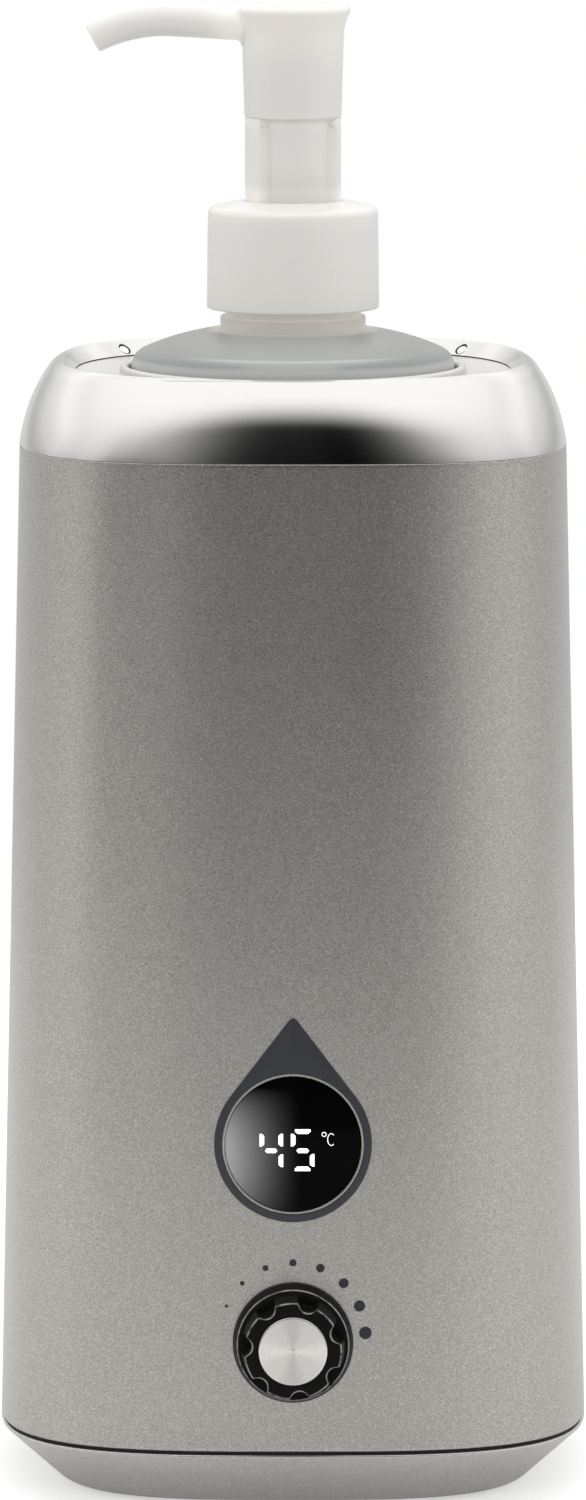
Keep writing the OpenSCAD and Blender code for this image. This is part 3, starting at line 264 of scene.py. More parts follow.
class Graph:
    """A node tree with one way to add a node of any type."""

    def __init__(self, tree: bpy.types.NodeTree) -> None:
        """Empties a tree and takes it over."""
        self.tree = tree
        tree.nodes.clear()

    def feed(self, node: bpy.types.Node, key: str | int, value: Any) -> None:
        """Links a node's input to a wire or an output, or sets its value.

        Args:
            node: The node.
            key: Name or number of the input.
            value: What it gets.
        """
        if isinstance(value, Wire):
            value = value.socket
        if isinstance(value, bpy.types.NodeSocket):
            self.tree.links.new(value, node.inputs[key])
        else:
            node.inputs[key].default_value = value

    def node(
        self, kind: str, settings: dict[str, Any] | None = None, sockets: dict[Any, Any] | None = None
    ) -> bpy.types.Node:
        """Adds a node.

        Args:
            kind: The node's type.
            settings: Its properties, which are set first.
            sockets: Values or links of its inputs, by name or number.

        Returns:
            The new node.
        """
        made = self.tree.nodes.new(kind)
        for key, value in (settings or {}).items():
            if key == "stops":
                self.stops(made.color_ramp, value)
            else:
                setattr(made, key, value)
        for key, value in (sockets or {}).items():
            self.feed(made, key, value)
        return made

    @staticmethod
    def stops(ramp: bpy.types.ColorRamp, levels: Sequence[Pair]) -> None:
        """Sets a ramp's grey levels.

        Args:
            ramp: The ramp.
            levels: Place and level of each stop, both from 0 to 1.
        """
        while len(ramp.elements) < len(levels):
            ramp.elements.new(1.0)
        for element, (place, level) in zip(ramp.elements, levels):
            element.position = place
            element.color = (level, level, level, 1.0)

    def wire(
        self,
        kind: str,
        settings: dict[str, Any] | None = None,
        sockets: dict[Any, Any] | None = None,
        out: int | str = 0,
    ) -> Wire:
        """Adds a node and returns the output of a name or number."""
        return Wire(self, self.node(kind, settings, sockets).outputs[out])

    def noise(self, place: Wire, scale: float, detail: float = 2.0) -> Wire:
        """Noise from 0 to 1 at a number of cells per metre."""
        sockets = {"Vector": place, "Scale": scale, "Detail": detail, "Roughness": 0.5}
        return self.wire("ShaderNodeTexNoise", None, sockets)

    def blend(self, share: Wire | float, first: Any, second: Any) -> Wire:
        """Mix of two colours."""
        return self.wire("ShaderNodeMix", {"data_type": "RGBA"}, {0: share, 6: first, 7: second}, out=2)

    def scaled(self, colour: Colour, gain: Wire) -> Wire:
        """A colour times a value."""
        return self.wire("ShaderNodeVectorMath", {"operation": "SCALE"}, {0: colour, "Scale": gain})

    def apart(self, place: Wire, middle: Point) -> Wire:
        """The way from a middle to a place."""
        return self.wire("ShaderNodeVectorMath", {"operation": "SUBTRACT"}, {0: place, 1: middle})

    def length(self, vector: Wire) -> Wire:
        """Length of a vector."""
        return self.wire("ShaderNodeVectorMath", {"operation": "LENGTH"}, {0: vector}, out="Value")

    def vector(self, *parts: Wire | float) -> Wire:
        """A vector of its parts, where a missing one is 0."""
        return self.wire("ShaderNodeCombineXYZ", None, dict(enumerate(parts)))

    def xyz(self, vector: Wire) -> list[Wire]:
        """The three parts of a vector."""
        return [Wire(self, out) for out in self.node("ShaderNodeSeparateXYZ", None, {0: vector}).outputs]


class Coat(Graph):
    """The graph of a material, with its surface shader and its object coordinates."""

    def __init__(self, name: str) -> None:
        """Makes a material with a plain surface shader.

        Args:
            name: Name of the material.
        """
        self.material = bpy.data.materials.new(name)
        self.material.use_nodes = True
        super().__init__(self.material.node_tree)
        self.place = self.wire("ShaderNodeTexCoord", out="Object")
        self.shader = self.node("ShaderNodeBsdfPrincipled")
        self.node("ShaderNodeOutputMaterial", None, {"Surface": self.shader.outputs[0]})

    def put(self, key: str, value: Any) -> None:
        """Sets or feeds an input of the surface shader."""
        self.feed(self.shader, key, value)


class Grower(Graph):
    """A geometry tree with named inputs, whose result becomes a plain mesh."""

    def __init__(self, name: str, kinds: dict[str, str]) -> None:
        """Makes a tree.

        Args:
            name: Name of the tree.
            kinds: Kind of socket of each input, by name.
        """
        super().__init__(bpy.data.node_groups.new(name, "GeometryNodeTree"))
        face = self.tree.interface
        face.new_socket(name="Geometry", in_out="OUTPUT", socket_type="NodeSocketGeometry")
        for key, kind in kinds.items():
            face.new_socket(name=key, in_out="INPUT", socket_type="NodeSocket" + kind)
        source = self.node("NodeGroupInput").outputs
        self.given = {key: Wire(self, source[key]) for key in kinds}

    def close(self, geometry: Wire, material: bpy.types.Material) -> None:
        """Ends the tree with real copies in a material.

        Args:
            geometry: What the tree has made.
            material: Its material.
        """
        whole = self.wire("GeometryNodeRealizeInstances", None, {0: geometry})
        dressed = self.wire("GeometryNodeSetMaterial", None, {"Geometry": whole, "Material": material})
        self.node("NodeGroupOutput", None, {0: dressed})

    def grow(self, name: str, values: dict[str, Any]) -> Piece:
        """Runs the tree.

        Args:
            name: Name of the piece.
            values: Values of the inputs, by name.

        Returns:
            The result as a new object with no modifier.
        """
        seed = linked(name + "_seed", bpy.data.meshes.new(name + "_seed"))
        modifier = seed.modifiers.new(name, "NODES")
        modifier.node_group = self.tree
        for item in self.tree.interface.items_tree:
            if item.item_type == "SOCKET" and item.in_out == "INPUT":
                modifier[item.identifier] = values[item.name]
        mesh = plain_mesh(seed)
        bpy.data.objects.remove(seed)
        return linked(name, mesh)


@dataclass(frozen=True)
class Finish:
    """A finish with fine variation of colour and gloss over the surface.

    Attributes:
        name: Name of the material.
        colour: Main colour, linear.
        roughness: Main roughness.
        metallic: Share of metal.
        shade: How much darker the variation makes the colour.
        grain: Cells of the fine grain per metre.
        cloud: Cells of the broad variation per metre.
        fine: Share of the grain in the variation.
        step: Levels of the variation between which the colour changes.
        swing: How much the roughness varies, as a share of it.
        relief: Height of the grain, in millimetres.
        bump: Strength of the relief.
        extras: Further values of the shader, the same all over.
    """

    name: str
    colour: Colour
    roughness: float = 0.5
    metallic: float = 0.0
    shade: float = 0.08
    grain: float = 2500.0
    cloud: float = 40.0
    fine: float = 0.6
    step: Pair = (0.2, 0.8)
    swing: float = 0.3
    relief: float = 0.01
    bump: float = 0.6
    extras: tuple[tuple[str, Any], ...] = ()

    def make(self) -> bpy.types.Material:
        """Builds the material once.

        Returns:
            The material.
        """
        label = "finish_" + self.name
        known = bpy.data.materials.get(label)
        if known:
            return known
        coat = Coat(label)
        for key, value in (("Metallic", self.metallic), *self.extras):
            coat.put(key, value)
        self.dress(coat)
        return coat.material

    def variation(self, coat: Coat) -> tuple[Wire, Wire]:
        """Fine grain and broad cloud, both from 0 to 1."""
        return coat.noise(coat.place, self.grain), coat.noise(coat.place, self.cloud, CLOUD_DETAIL)

    def emboss(self, coat: Coat, height: Wire) -> None:
        """Raises the surface by a height from 0 to 1."""
        sockets = {"Strength": self.bump, "Distance": self.relief * MM, "Height": height}
        coat.put("Normal", coat.wire("ShaderNodeBump", None, sockets))

    def tinted(self, coat: Coat, share: Wire, cloud: Wire) -> Wire:
        """Colour of the surface.

        Args:
            coat: The material's graph.
            share: Where the surface is darker, from 0 to 1.
            cloud: The broad part of it, which isn't used here.

        Returns:
            The colour.
        """
        dark = tuple(c * (1 - 2 * self.shade) for c in self.colour) + (1.0,)
        light = tuple(c * (1 + self.shade) for c in self.colour) + (1.0,)
        return coat.blend(share.ramp(*self.step), light, dark)

    def dress(self, coat: Coat) -> None:
        """Feeds colour, roughness and relief.

        Args:
            coat: The material's graph.
        """
        grain, cloud = self.variation(coat)
        share = grain * self.fine + cloud * (1 - self.fine)
        coat.put("Base Color", self.tinted(coat, share, cloud))
        least = self.roughness * (1 - self.swing / 2)
        coat.put("Roughness", share * (self.roughness * self.swing) + least)
        self.emboss(coat, grain)


@dataclass(frozen=True)
class FlakePaint(Finish):
    """Metallic paint whose flakes sparkle finely.

    Attributes:
        flake: Cells of the flakes per metre.
        sparkle: How much lighter a bright flake is.
        swings: How much the cloud and the flakes vary the roughness.
    """

    bump: float = 0.5
    flake: float = 8000.0
    sparkle: float = 0.72
    swings: Pair = (0.06, 0.08)

    def dress(self, coat: Coat) -> None:
        """Feeds flakes on top of the broad variation.

        Args:
            coat: The material's graph.
        """
        sockets = {"Vector": coat.place, "Scale": self.flake}
        flake = coat.wire("ShaderNodeTexVoronoi", None, sockets, out="Color")
        tint = coat.wire("ShaderNodeSeparateColor", None, {0: flake})
        grain, cloud = self.variation(coat)
        light = tint * tint * self.sparkle + (1 - self.sparkle / 3)
        shadow = grain * (2 * self.shade) + (1 - self.shade)
        coat.put("Base Color", coat.scaled(self.colour, light * shadow))
        rough = cloud * self.swings[0] + tint * self.swings[1]
        coat.put("Roughness", rough + (self.roughness - sum(self.swings) / 2))
        self.emboss(coat, tint)


@dataclass(frozen=True)
class TurnedMetal(Finish):
    """Metal turned in fine rings about a point, with painted glints that spread to both sides.

    Attributes:
        centre: The rings' middle.
        pitch: Distance of two rings, in millimetres.
        painted_glints: Number of painted glints in a turn and how much lighter they make the colour.
        ring_swing: How much the rings vary the roughness.
    """

    bump: float = 0.5
    centre: Point = (0.0, 0.0, 0.0)
    pitch: float = 0.37
    painted_glints: tuple[Pair, ...] = ((2.0, 0.13), (6.0, 0.13 / 3))
    ring_swing: float = 0.08

    def dress(self, coat: Coat) -> None:
        """Feeds rings that wave in height and gloss, and the painted glints between them.

        Args:
            coat: The material's graph.
        """
        apart = coat.apart(coat.place, self.centre)
        x, _, z = coat.xyz(apart)
        angle = z.math("ARCTAN2", x)
        # painted glints: the colour is lighter in fans round the middle
        glint = sum((angle * count).math("COSINE") * gain for count, gain in self.painted_glints)
        phase = coat.length(apart) * (2 * math.pi / (self.pitch * MM))
        wave = phase.math("SINE") * 0.5 + 0.5
        grain, _ = self.variation(coat)
        light = (glint + 1.0) * (1 - wave * (2 * self.shade)) * (1 - grain * self.shade)
        coat.put("Base Color", coat.scaled(self.colour, light))
        coat.put("Roughness", wave * self.ring_swing + (self.roughness - self.ring_swing / 2))
        self.emboss(coat, wave)


@dataclass(frozen=True)
class FrostedPlastic(Finish):
    """Frosted plastic that is paler and warmer above a height, where the wall is thick.

    Light and shade are painted into its colour: a painted highlight along the shoulder's edge, a painted
    bluish shadow under it at both sides, painted shade at the sides, and a paler foot below, which is
    painted light. All lengths are in metres. A name with z is a height or a pair of heights, h is the
    height of a band, and x is a pair of distances from the middle between which something sets in or
    fades. A gain says how much lighter a place is, foot_side how much lighter still the foot is at the
    sides, side_shade how much darker the painted shade makes the sides, and patch how much the shadow
    varies. A painted glow lights the neck between the heights of gap_z, where the closure shades it.
    """

    fine: float = 0.5
    neck_colour: Colour = (0.8, 0.8, 0.8)
    neck_z: float = 0.212
    fade: float = 0.0004
    highlight_z: float = 0.20825
    highlight_h: float = 0.0002
    highlight_x: Pair = (0.009, 0.024)
    highlight_gain: float = 0.4
    shadow_colour: Colour = (0.3, 0.33, 0.34)
    shadow_z: float = 0.2073
    shadow_h: float = 0.0004
    shadow_x: Pair = (0.006, 0.0105)
    patch: float = 0.4
    side_x: Pair = (0.006, 0.024)
    middle_gain: float = 0.06
    side_shade: float = 0.33
    foot_h: float = 0.0012
    foot_gain: float = 0.2
    foot_side: float = 0.38
    body_gain: float = 0.35
    body_z: Pair = (0.19, 0.2035)
    gap_z: Pair = (0.2144, 0.2159)
    painted_gap_glow: float = 0.2

    @staticmethod
    def bell(value: Wire, middle: float, width: float) -> Wire:
        """Bell curve of a value, 1 at its middle."""
        off = (value - middle) / width
        return (off * off * -1.0).math("EXPONENT")

    def tinted(self, coat: Coat, share: Wire, cloud: Wire) -> Wire:
        """Colours of shoulder, edge, foot and neck, with painted light and shade.

        Args:
            coat: The material's graph.
            share: Where the surface is darker, which isn't used here.
            cloud: The broad part of it.

        Returns:
            The colour.
        """
        x, _, height = coat.xyz(coat.place)
        across = x.math("ABSOLUTE")
        beside = across.ramp(*self.side_x)
        # painted highlight along the shoulder's edge, fading towards the sides
        line = self.bell(height, self.highlight_z, self.highlight_h) * (1 - across.ramp(*self.highlight_x))
        foot = 1 - height.ramp(self.shadow_z - self.foot_h, self.shadow_z)
        body = 1 - height.ramp(*self.body_z)
        # painted shade darkens the sides, and painted light pales the foot below the shoulder
        light = (cloud - 0.5) * (2 * self.shade) + (1 + self.middle_gain) - beside * self.side_shade
        light = light + line * self.highlight_gain + body * self.body_gain
        light = light + foot * (beside * self.foot_side + self.foot_gain)
        # painted bluish shadow under the shoulder's edge at both sides
        shadow = self.bell(height, self.shadow_z, self.shadow_h) * across.ramp(*self.shadow_x)
        shadow = shadow * (cloud * self.patch + (1 - self.patch))
        wall = coat.blend(shadow, coat.scaled(self.colour, light), self.shadow_colour + (1.0,))
        neck = height.ramp(self.neck_z - self.fade, self.neck_z)
        return coat.blend(neck, wall, self.neck_colour + (1.0,))

    def dress(self, coat: Coat) -> None:
        """Feeds the frosted colours and a painted glow in the neck's shaded gap.

        Args:
            coat: The material's graph.
        """
        super().dress(coat)
        _, _, height = coat.xyz(coat.place)
        low, high = self.gap_z
        # painted glow, as emission, in the gap where the closure shades the neck
        gap = height.ramp(low - self.fade, low) * (1 - height.ramp(high, high + self.fade))
        coat.put("Emission Color", coat.scaled(self.neck_colour, gap * self.painted_gap_glow))


@dataclass(frozen=True)
class GlowPaintedPlastic(Finish):
    """White plastic with a painted glow that lifts the shade where another form shades it.

    Attributes:
        painted_glows: Middle and reach of each shaded place and how strong its painted glow is.
    """

    painted_glows: tuple[PaintedGlow, ...] = ()

    def dress(self, coat: Coat) -> None:
        """Feeds the plain finish and the painted glow at each place.

        Args:
            coat: The material's graph.
        """
        super().dress(coat)
        # painted glow, as emission, that lifts the shade at each place
        light: Wire | float = 0.0
        for middle, reach, gain in self.painted_glows:
            sockets = {0: coat.apart(coat.place, middle), 1: reach}
            share = coat.wire("ShaderNodeVectorMath", {"operation": "DIVIDE"}, sockets)
            light = (1 - coat.length(share).ramp(0.0, 1.0)) * gain + light
        if self.painted_glows:
            coat.put("Emission Color", coat.scaled(self.colour, light))


@dataclass(frozen=True)
class ScreenGlass(Finish):
    """Black screen glass with a painted grey reflection on its left side.

    Attributes:
        middle: The glass's middle.
        r: Radius of the glass.
        glare_grey: Grey of the painted reflection at the rim.
        width: Width of the painted reflection, as a share of the radius.
        drop: How far the painted reflection lies below the middle, as a share of the radius.
        fall: How fast the painted reflection fades above and below.
        smear: How much rougher smears make the glass.
    """

    middle: Point = (0.0, 0.0, 0.0)
    r: float = 0.0124
    glare_grey: float = 0.5
    width: float = 1.15
    drop: float = 0.22
    fall: float = 0.9
    smear: float = 0.04

    def dress(self, coat: Coat) -> None:
        """Feeds the painted reflection, strongest at the left rim.

        Args:
            coat: The material's graph.
        """
        x, _, z = coat.xyz(coat.place)
        across = (x - (self.middle[0] - self.r)) / self.r
        up = (z - (self.middle[2] - self.drop * self.r)) / self.r
        near = (1.0 - across / self.width).math("MAXIMUM", 0.0)
        level = (1.0 - up * up * self.fall).math("MAXIMUM", 0.0)
        glare_grey = (self.glare_grey, self.glare_grey, self.glare_grey, 1.0)
        # painted reflection: grey at the left rim, fading inwards and up and down
        coat.put("Base Color", coat.blend(near * near * level, self.colour + (1.0,), glare_grey))
        coat.put("Roughness", coat.noise(coat.place, self.cloud) * self.smear + self.roughness)


@dataclass(frozen=True)
class MarkedFinish(Finish):
    """A finish whose marked vertices have another colour: painted highlights on the knob's edges and painted
    shade on the pins' sides.

    Attributes:
        marked: Colour of the marked places, linear.
        patch: Cells of the patches per metre.
        patches: Levels of noise between which a patch sets in.
    """

    marked: Colour = (0.3, 0.3, 0.285)
    patch: float = 700.0
    patches: Pair = (0.25, 0.55)

    def tinted(self, coat: Coat, share: Wire, cloud: Wire) -> Wire:
        """The plain colour with the painted light and shade of the marked places.

        Args:
            coat: The material's graph.
            share: Where the surface is darker.
            cloud: The broad part of it.

        Returns:
            The colour.
        """
        plain = super().tinted(coat, share, cloud)
        marks = coat.wire("ShaderNodeAttribute", {"attribute_name": PAINTED_LIGHT_ATTRIBUTE}, out="Fac")
        patchy = coat.noise(coat.place, self.patch).ramp(*self.patches)
        return coat.blend(marks * patchy, plain, self.marked + (1.0,))


HOUSING_PAINT = FlakePaint(
    "satin_grey_paint", srgb(190, 188, 183), 0.31, 0.95, shade=0.02, grain=900.0, cloud=25.0, relief=0.0008
)
# a lighter copy of the housing paint with less sparkle: painted light on the base
BASE_PAINT_PAINTED_LIGHT = replace(HOUSING_PAINT, name="base_paint_painted_light", colour=srgb(208, 206, 203), sparkle=0.4)
FINISHES: dict[str, Finish] = {
    "housing_grey": HOUSING_PAINT,
    "bright_ring": Finish(
        "bright_plating", srgb(224, 223, 221), 0.12, 1.0, shade=0.01, cloud=60.0, relief=0.00005
    ),
    # near-black marked colour paints shade on the pins' sides
    "bright_pin": MarkedFinish(
        "bright_pin",
        srgb(240, 240, 240),
        0.2,
        1.0,
        shade=0.06,
        relief=0.002,
        marked=(0.02, 0.02, 0.019),
        patches=(-1.0, 0.0),
    ),
    "well_aluminium": Finish("drawn_aluminium", srgb(222, 221, 219), 0.36, 0.8, shade=0.06, relief=0.003),
    "seam_black": Finish("seam_rubber", srgb(16, 16, 16), 0.7, shade=0.2),
    "foot_rubber": Finish("foot_rubber", srgb(24, 24, 24), 0.75, shade=0.2, relief=0.02),
    "inlay_dark": Finish("dark_inlay", srgb(52, 55, 59), 0.42, 0.1, shade=0.06, relief=0.003),
    "trim_silver": Finish("silver_trim", srgb(186, 185, 181), 0.26, 1.0, shade=0.04, relief=0.001),
    # black glass with a painted reflection on its left side
    "display_black": ScreenGlass(
        "black_glass",
        srgb(6, 6, 7),
        0.08,
        extras=(("Specular IOR Level", 0.03),),
        middle=(0.0, -0.053, 0.0684),
    ),
    # thin painted highlights, in patches, along the knob's marked edges
    "knob_black": MarkedFinish(
        "black_painted_edge_light",
        srgb(16, 15, 14),
        0.42,
        shade=0.12,
        relief=0.006,
        extras=(("Specular IOR Level", 0.1),),
    ),
    "turned_disc": TurnedMetal("turned_disc", srgb(232, 230, 226), 0.24, 1.0, shade=0.04, relief=0.004),
    "bottle_frosted": FrostedPlastic(
        "frosted_bottle",
        srgb(172, 174, 171),
        0.36,
        shade=0.04,
        relief=0.004,
        extras=(
            ("Subsurface Weight", 0.6),
            ("Subsurface Radius", (1.0, 1.0, 1.0)),
            ("Subsurface Scale", 0.008),
            # the emission carries the painted glow in the neck's shaded gap
            ("Emission Strength", 1.0),
            ("Transmission Weight", 0.06),
            ("Specular IOR Level", 0.35),
        ),
        neck_colour=srgb(242, 237, 228),
    ),
    "pump_white": GlowPaintedPlastic(
        "white_pump",
        srgb(244, 241, 235),
        0.3,
        shade=0.012,
        relief=0.002,
        extras=(
            ("Subsurface Weight", 0.4),
            ("Subsurface Radius", (1.0, 0.9, 0.75)),
            ("Subsurface Scale", 0.004),
            ("Emission Strength", 1.0),
            ("Emission Color", (0.0, 0.0, 0.0, 1.0)),
        ),
    ),
    "pump_natural": Finish("natural_plastic", srgb(232, 232, 226), 0.4, shade=0.03),
    "gasket_white": Finish("gasket_white", srgb(232, 231, 227), 0.6, shade=0.05),
    "spring_steel": Finish("spring_steel", srgb(190, 190, 194), 0.25, 1.0),
    "screw_steel": Finish("screw_steel", srgb(190, 190, 194), 0.3, 1.0),
    "pot_steel": Finish("nickel_steel", srgb(186, 186, 190), 0.3, 1.0),
    "heater_amber": Finish("amber_film", srgb(190, 122, 40), 0.35, shade=0.2, grain=300.0),
    "felt": Finish("felt", srgb(222, 216, 200), 0.95, shade=0.15, grain=700.0, relief=0.3),
    "component_black": Finish("component_black", srgb(34, 34, 36), 0.5),
    "component_tan": Finish("component_tan", srgb(196, 176, 132), 0.6),
    "board_green": Finish("board_green", srgb(20, 86, 44), 0.4, shade=0.15),
    "inlet_black": Finish("inlet_black", srgb(28, 28, 29), 0.45, shade=0.15, relief=0.02),
    "wire_red": Finish("silicone_red", srgb(150, 36, 30), 0.5),
}
PRINT_GREY = Finish("printed_dots", srgb(42, 45, 49), 0.5, shade=0.05, relief=0.001)
LIT_WHITE = Finish(
    "lit_segments",
    srgb(240, 244, 250),
    0.4,
    shade=0.01,
    extras=(("Emission Color", (0.94, 0.97, 1.0, 1.0)), ("Emission Strength", 1.0)),
)


def settle(
    piece: Piece,
    body: Body,
    slot: str,
    nodes: Iterable[str] = (),
    finish: Finish | None = None,
    sharp: float = 40.0,
) -> None:
    """Dresses a piece and ties it to its body.

    Args:
        piece: The new piece.
        body: The body that it rides on.
        slot: The record's material slot.
        nodes: The nodes that it stands for.
        finish: Its finish, where it isn't the slot's own.
        sharp: Angle, in degrees, above which an edge stays sharp.
    """
    piece.data.materials.clear()
    piece.data.materials.append((finish or FINISHES[slot]).make())
    piece.data.shade_smooth()
    piece.data.set_sharp_from_angle(angle=math.radians(sharp))
    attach(piece, body.value)
    if nodes:
        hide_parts(*nodes)
    LOG.info("%s: %d faces on %s", piece.name, len(piece.data.polygons), body.value)


@dataclass
class Housing:
    """Shell, bright ring with its pins, well and base.

    The fields hold the sizes of the square-round housing. ring_past says how far past the last
    curve's end each curve of the ring starts, in degrees.
    """

    seam_half: float = 54.2
    top_half: float = 50.3
    power: float = 3.26
    wall: float = 2.4
    wall_levels: int = 24
    edge: float = 0.35
    joint_edge: float = 0.28
    shell_z: float = 11.8
    ring_z: float = 192.0
    crest_z: float = 206.5
    ring_inset: float = 7.5
    ring_leans: Point = (9.0, 35.0, 70.0)
    ring_past: Point = (1.2, 2.0, 6.0)
    ring_edge: float = 0.12
    ring_edge_shares: Pair = (0.25, 0.3)
    ring_roll: float = 0.6
    ring_wall: float = 2.0
    ring_end: float = 8.0
    crest_power: float = 2.65
    ledge_power: float = 2.55
    ledge_drop: float = 2.7
    ledge_reach: float = 2.6
    foot_gap: float = 0.2
    foot_undercut: float = 0.8
    pin_r: float = 1.15
    pin_gap: float = 0.14
    pin_edge: float = 0.2
    pin_depth: float = 1.6
    pin_lift: float = 0.02
    pin_share: float = 0.42
    pin_steps: int = 40
    drill_lift: float = 1.0
    well_r: float = 30.4
    well_wall: float = 1.2
    well_depth: float = 106.8
    well_floor: float = 1.6
    well_corner: float = 4.4
    well_shares: Pair = (0.7, 0.4)
    flange_half: float = 43.0
    flange_t: float = 1.4
    lip_w: float = 1.6
    lip_h: float = 1.5
    lip_foot: Pair = (0.15, 0.12)
    base_z: float = 0.5
    seam_z: float = 11.2
    base_slope: float = 45.0
    base_edge: float = 4.0
    base_rim: float = 3.4
    base_floor: Pair = (9.0, 4.4)

    @property
    def draft(self) -> float:
        """Lean of the shell's walls, in radians."""
        return math.atan((self.seam_half - self.top_half) / (self.ring_z - self.shell_z))

    @property
    def ledge_z(self) -> float:
        """Height of the ledge inside the ring."""
        return self.crest_z - self.ledge_drop

    def half_at(self, z: float) -> float:
        """Half width of the shell at a height."""
        share = (z - self.shell_z) / (self.ring_z - self.shell_z)
        return self.seam_half - (self.seam_half - self.top_half) * share

    def ring_power(self, z: float) -> float:
        """Squareness of the ring's plan at a height."""
        share = min(1.0, max(0.0, (z - self.ring_z) / (self.crest_z - self.ring_z)))
        return self.power + (self.crest_power - self.power) * share

    def face(self, z: float) -> Matrix:
        """Frame on the front wall at a height: X to the right, Y up the wall and Z out of it."""
        lean = Matrix.Rotation(math.pi / 2 - self.draft, 4, "X")
        return Matrix.Translation((0, -self.half_at(z) * MM, z * MM)) @ lean

    def sag(self, x: float, z: float) -> float:
        """How far the front wall falls back beside its middle, at a height."""
        half = self.half_at(z)
        return half - half * (1 - (abs(x) / half) ** self.power) ** (1 / self.power)

    def shell(self) -> None:
        """Drafted wall with softened rims, and levels close to them that keep the wall's shading even."""
        e, j, low, high = self.edge, self.joint_edge, self.shell_z, self.ring_z
        between = (low + (high - low) * i / self.wall_levels for i in range(1, self.wall_levels))
        levels = [(self.seam_half - self.wall, low)]
        levels += arc(self.seam_half - e, low + e, e, -90, 0, 4)
        levels += [(self.half_at(z), z) for z in (low + 2 * e, *between, high - 3 * j)]
        levels += arc(self.top_half - j, high - j, j, 0, 90, 4)
        levels += [(self.top_half - self.wall, high)]
        piece = skin("shell_wall", [plan_ring(h, self.power, z) for h, z in levels], loop=True)
        settle(piece, Body.HOUSING, "housing_grey", ["outer_shell"])

    def ring_curves(self) -> tuple[Point, Point]:
        """Wide and tight curve of the ring's wall, which pass into each other.

        Returns:
            Both curves, each with its middle and its radius.
        """
        height = self.crest_z - self.ring_z
        sines = [math.sin(math.radians(a)) for a in self.ring_leans]
        cosines = [math.cos(math.radians(a)) for a in self.ring_leans]
        wide_z, wide_x = sines[1] - sines[0], cosines[0] - cosines[1]
        tight_z, tight_x = sines[2] - sines[1], cosines[1] - cosines[2]
        spread = wide_z * tight_x - tight_z * wide_x
        wide = (height * tight_x - self.ring_inset * tight_z) / spread
        tight = (self.ring_inset * wide_z - height * wide_x) / spread
        x, z = self.top_half - wide * cosines[0], self.ring_z - wide * sines[0]
        return (x, z, wide), (x + (wide - tight) * cosines[1], z + (wide - tight) * sines[1], tight)

    def ring_rings(self) -> list[Ring]:
        """Levels of the ring, over the rolled crest and down the sloped inner wall.

        Returns:
            The levels, up the outside and down the inside.
        """
        wide, tight = self.ring_curves()
        first, knee, last = self.ring_leans
        e, roll = self.ring_edge, self.ring_roll
        reach = tight[2] - roll
        crest_x = tight[0] + reach * math.cos(math.radians(last))
        crest_z = tight[1] + reach * math.sin(math.radians(last))
        slope = 180 - math.degrees(math.atan2(self.ledge_reach, self.ledge_drop))
        x_share, z_share = self.ring_edge_shares
        levels = [(self.top_half - self.wall, self.ring_z), (self.top_half - e, self.ring_z)]
        levels += [(self.top_half - e * x_share, self.ring_z + e * z_share)]
        levels += arc(*wide, first + self.ring_past[0], knee, 24)
        levels += arc(*tight, knee + self.ring_past[1], last, 12)
        levels += arc(crest_x, crest_z, roll, last + self.ring_past[2], slope, 8)
        rings = [plan_ring(h, self.ring_power(z), z) for h, z in levels]
        foot = self.top_half - self.ring_inset - self.ledge_reach
        foot += self.ledge_reach * self.foot_gap / self.ledge_drop
        for half in (foot, foot + self.foot_undercut):
            rings.append(plan_ring(half, self.ledge_power, self.ledge_z + self.foot_gap))
        inner_r = wide[2] - self.ring_wall
        under = math.degrees(math.asin((self.ledge_z - wide[1]) / inner_r))
        inside = arc(wide[0], wide[1], inner_r, under, self.ring_end, 8)
        return rings + [plan_ring(h, self.ring_power(z), z) for h, z in inside]

    def ring(self) -> None:
        """Bright ring with four holes for the pins."""
        piece = skin("bright_ring", self.ring_rings(), loop=True)
        drill = self.pin_solid("pin_holes", self.pin_gap, self.drill_lift)
        cut = piece.modifiers.new("pin_holes", "BOOLEAN")
        cut.object = drill
        cut.operation = "DIFFERENCE"
        drilled = plain_mesh(piece)
        piece.modifiers.clear()
        piece.data = drilled
        bpy.data.objects.remove(drill)
        settle(piece, Body.HOUSING, "bright_ring", ["top_ring"], sharp=50)

    def pin_solid(self, name: str, grow: float, lift: float) -> Piece:
        """Four pins at the ring's corners, square to its sloped inner wall.

        Args:
            name: Name of the piece.
            grow: How much wider than a pin each one is.
            lift: How far each one stands above the slope.

        Returns:
            The new object.
        """
        crest_half = self.top_half - self.ring_inset
        crest = crest_half * 0.5 ** (1 / self.crest_power)
        ledge = (crest_half - self.ledge_reach) * 0.5 ** (1 / self.ledge_power)
        middle = ledge + (crest - ledge) * self.pin_share
        middle_z = self.ledge_z + self.ledge_drop * self.pin_share
        rise = math.atan2(self.ledge_drop, (crest - ledge) * math.sqrt(2))
        r = self.pin_r + grow
        profile = [(r, -self.pin_depth), (r, lift - self.pin_edge), (r - self.pin_edge, lift)]
        pins = []
        for turn in range(45, 360, 90):
            pin = skin(name, [round_ring(reach, z, self.pin_steps) for reach, z in profile], caps=True)
            place = Matrix.Rotation(math.radians(turn), 4, "Z")
            place @= Matrix.Translation((middle * math.sqrt(2) * MM, 0, middle_z * MM))
            pin.data.transform(place @ Matrix.Rotation(-rise, 4, "Y"))
            pins.append(pin)
        return joined(name, pins)

    def pins(self) -> None:
        """Pins that end flush with the ring's sloped wall, with painted shade on their sides for the shaded
        gap round them.
        """
        piece = self.pin_solid("ring_pin_heads", 0.0, self.pin_lift)
        side, whole = 2 * self.pin_steps, 3 * self.pin_steps
        # the sides of each pin are marked for painted shade
        mark(piece, (i % whole < side for i in range(len(piece.data.vertices))))
        settle(piece, Body.HOUSING, "bright_pin", ["ring_pins"], sharp=30)

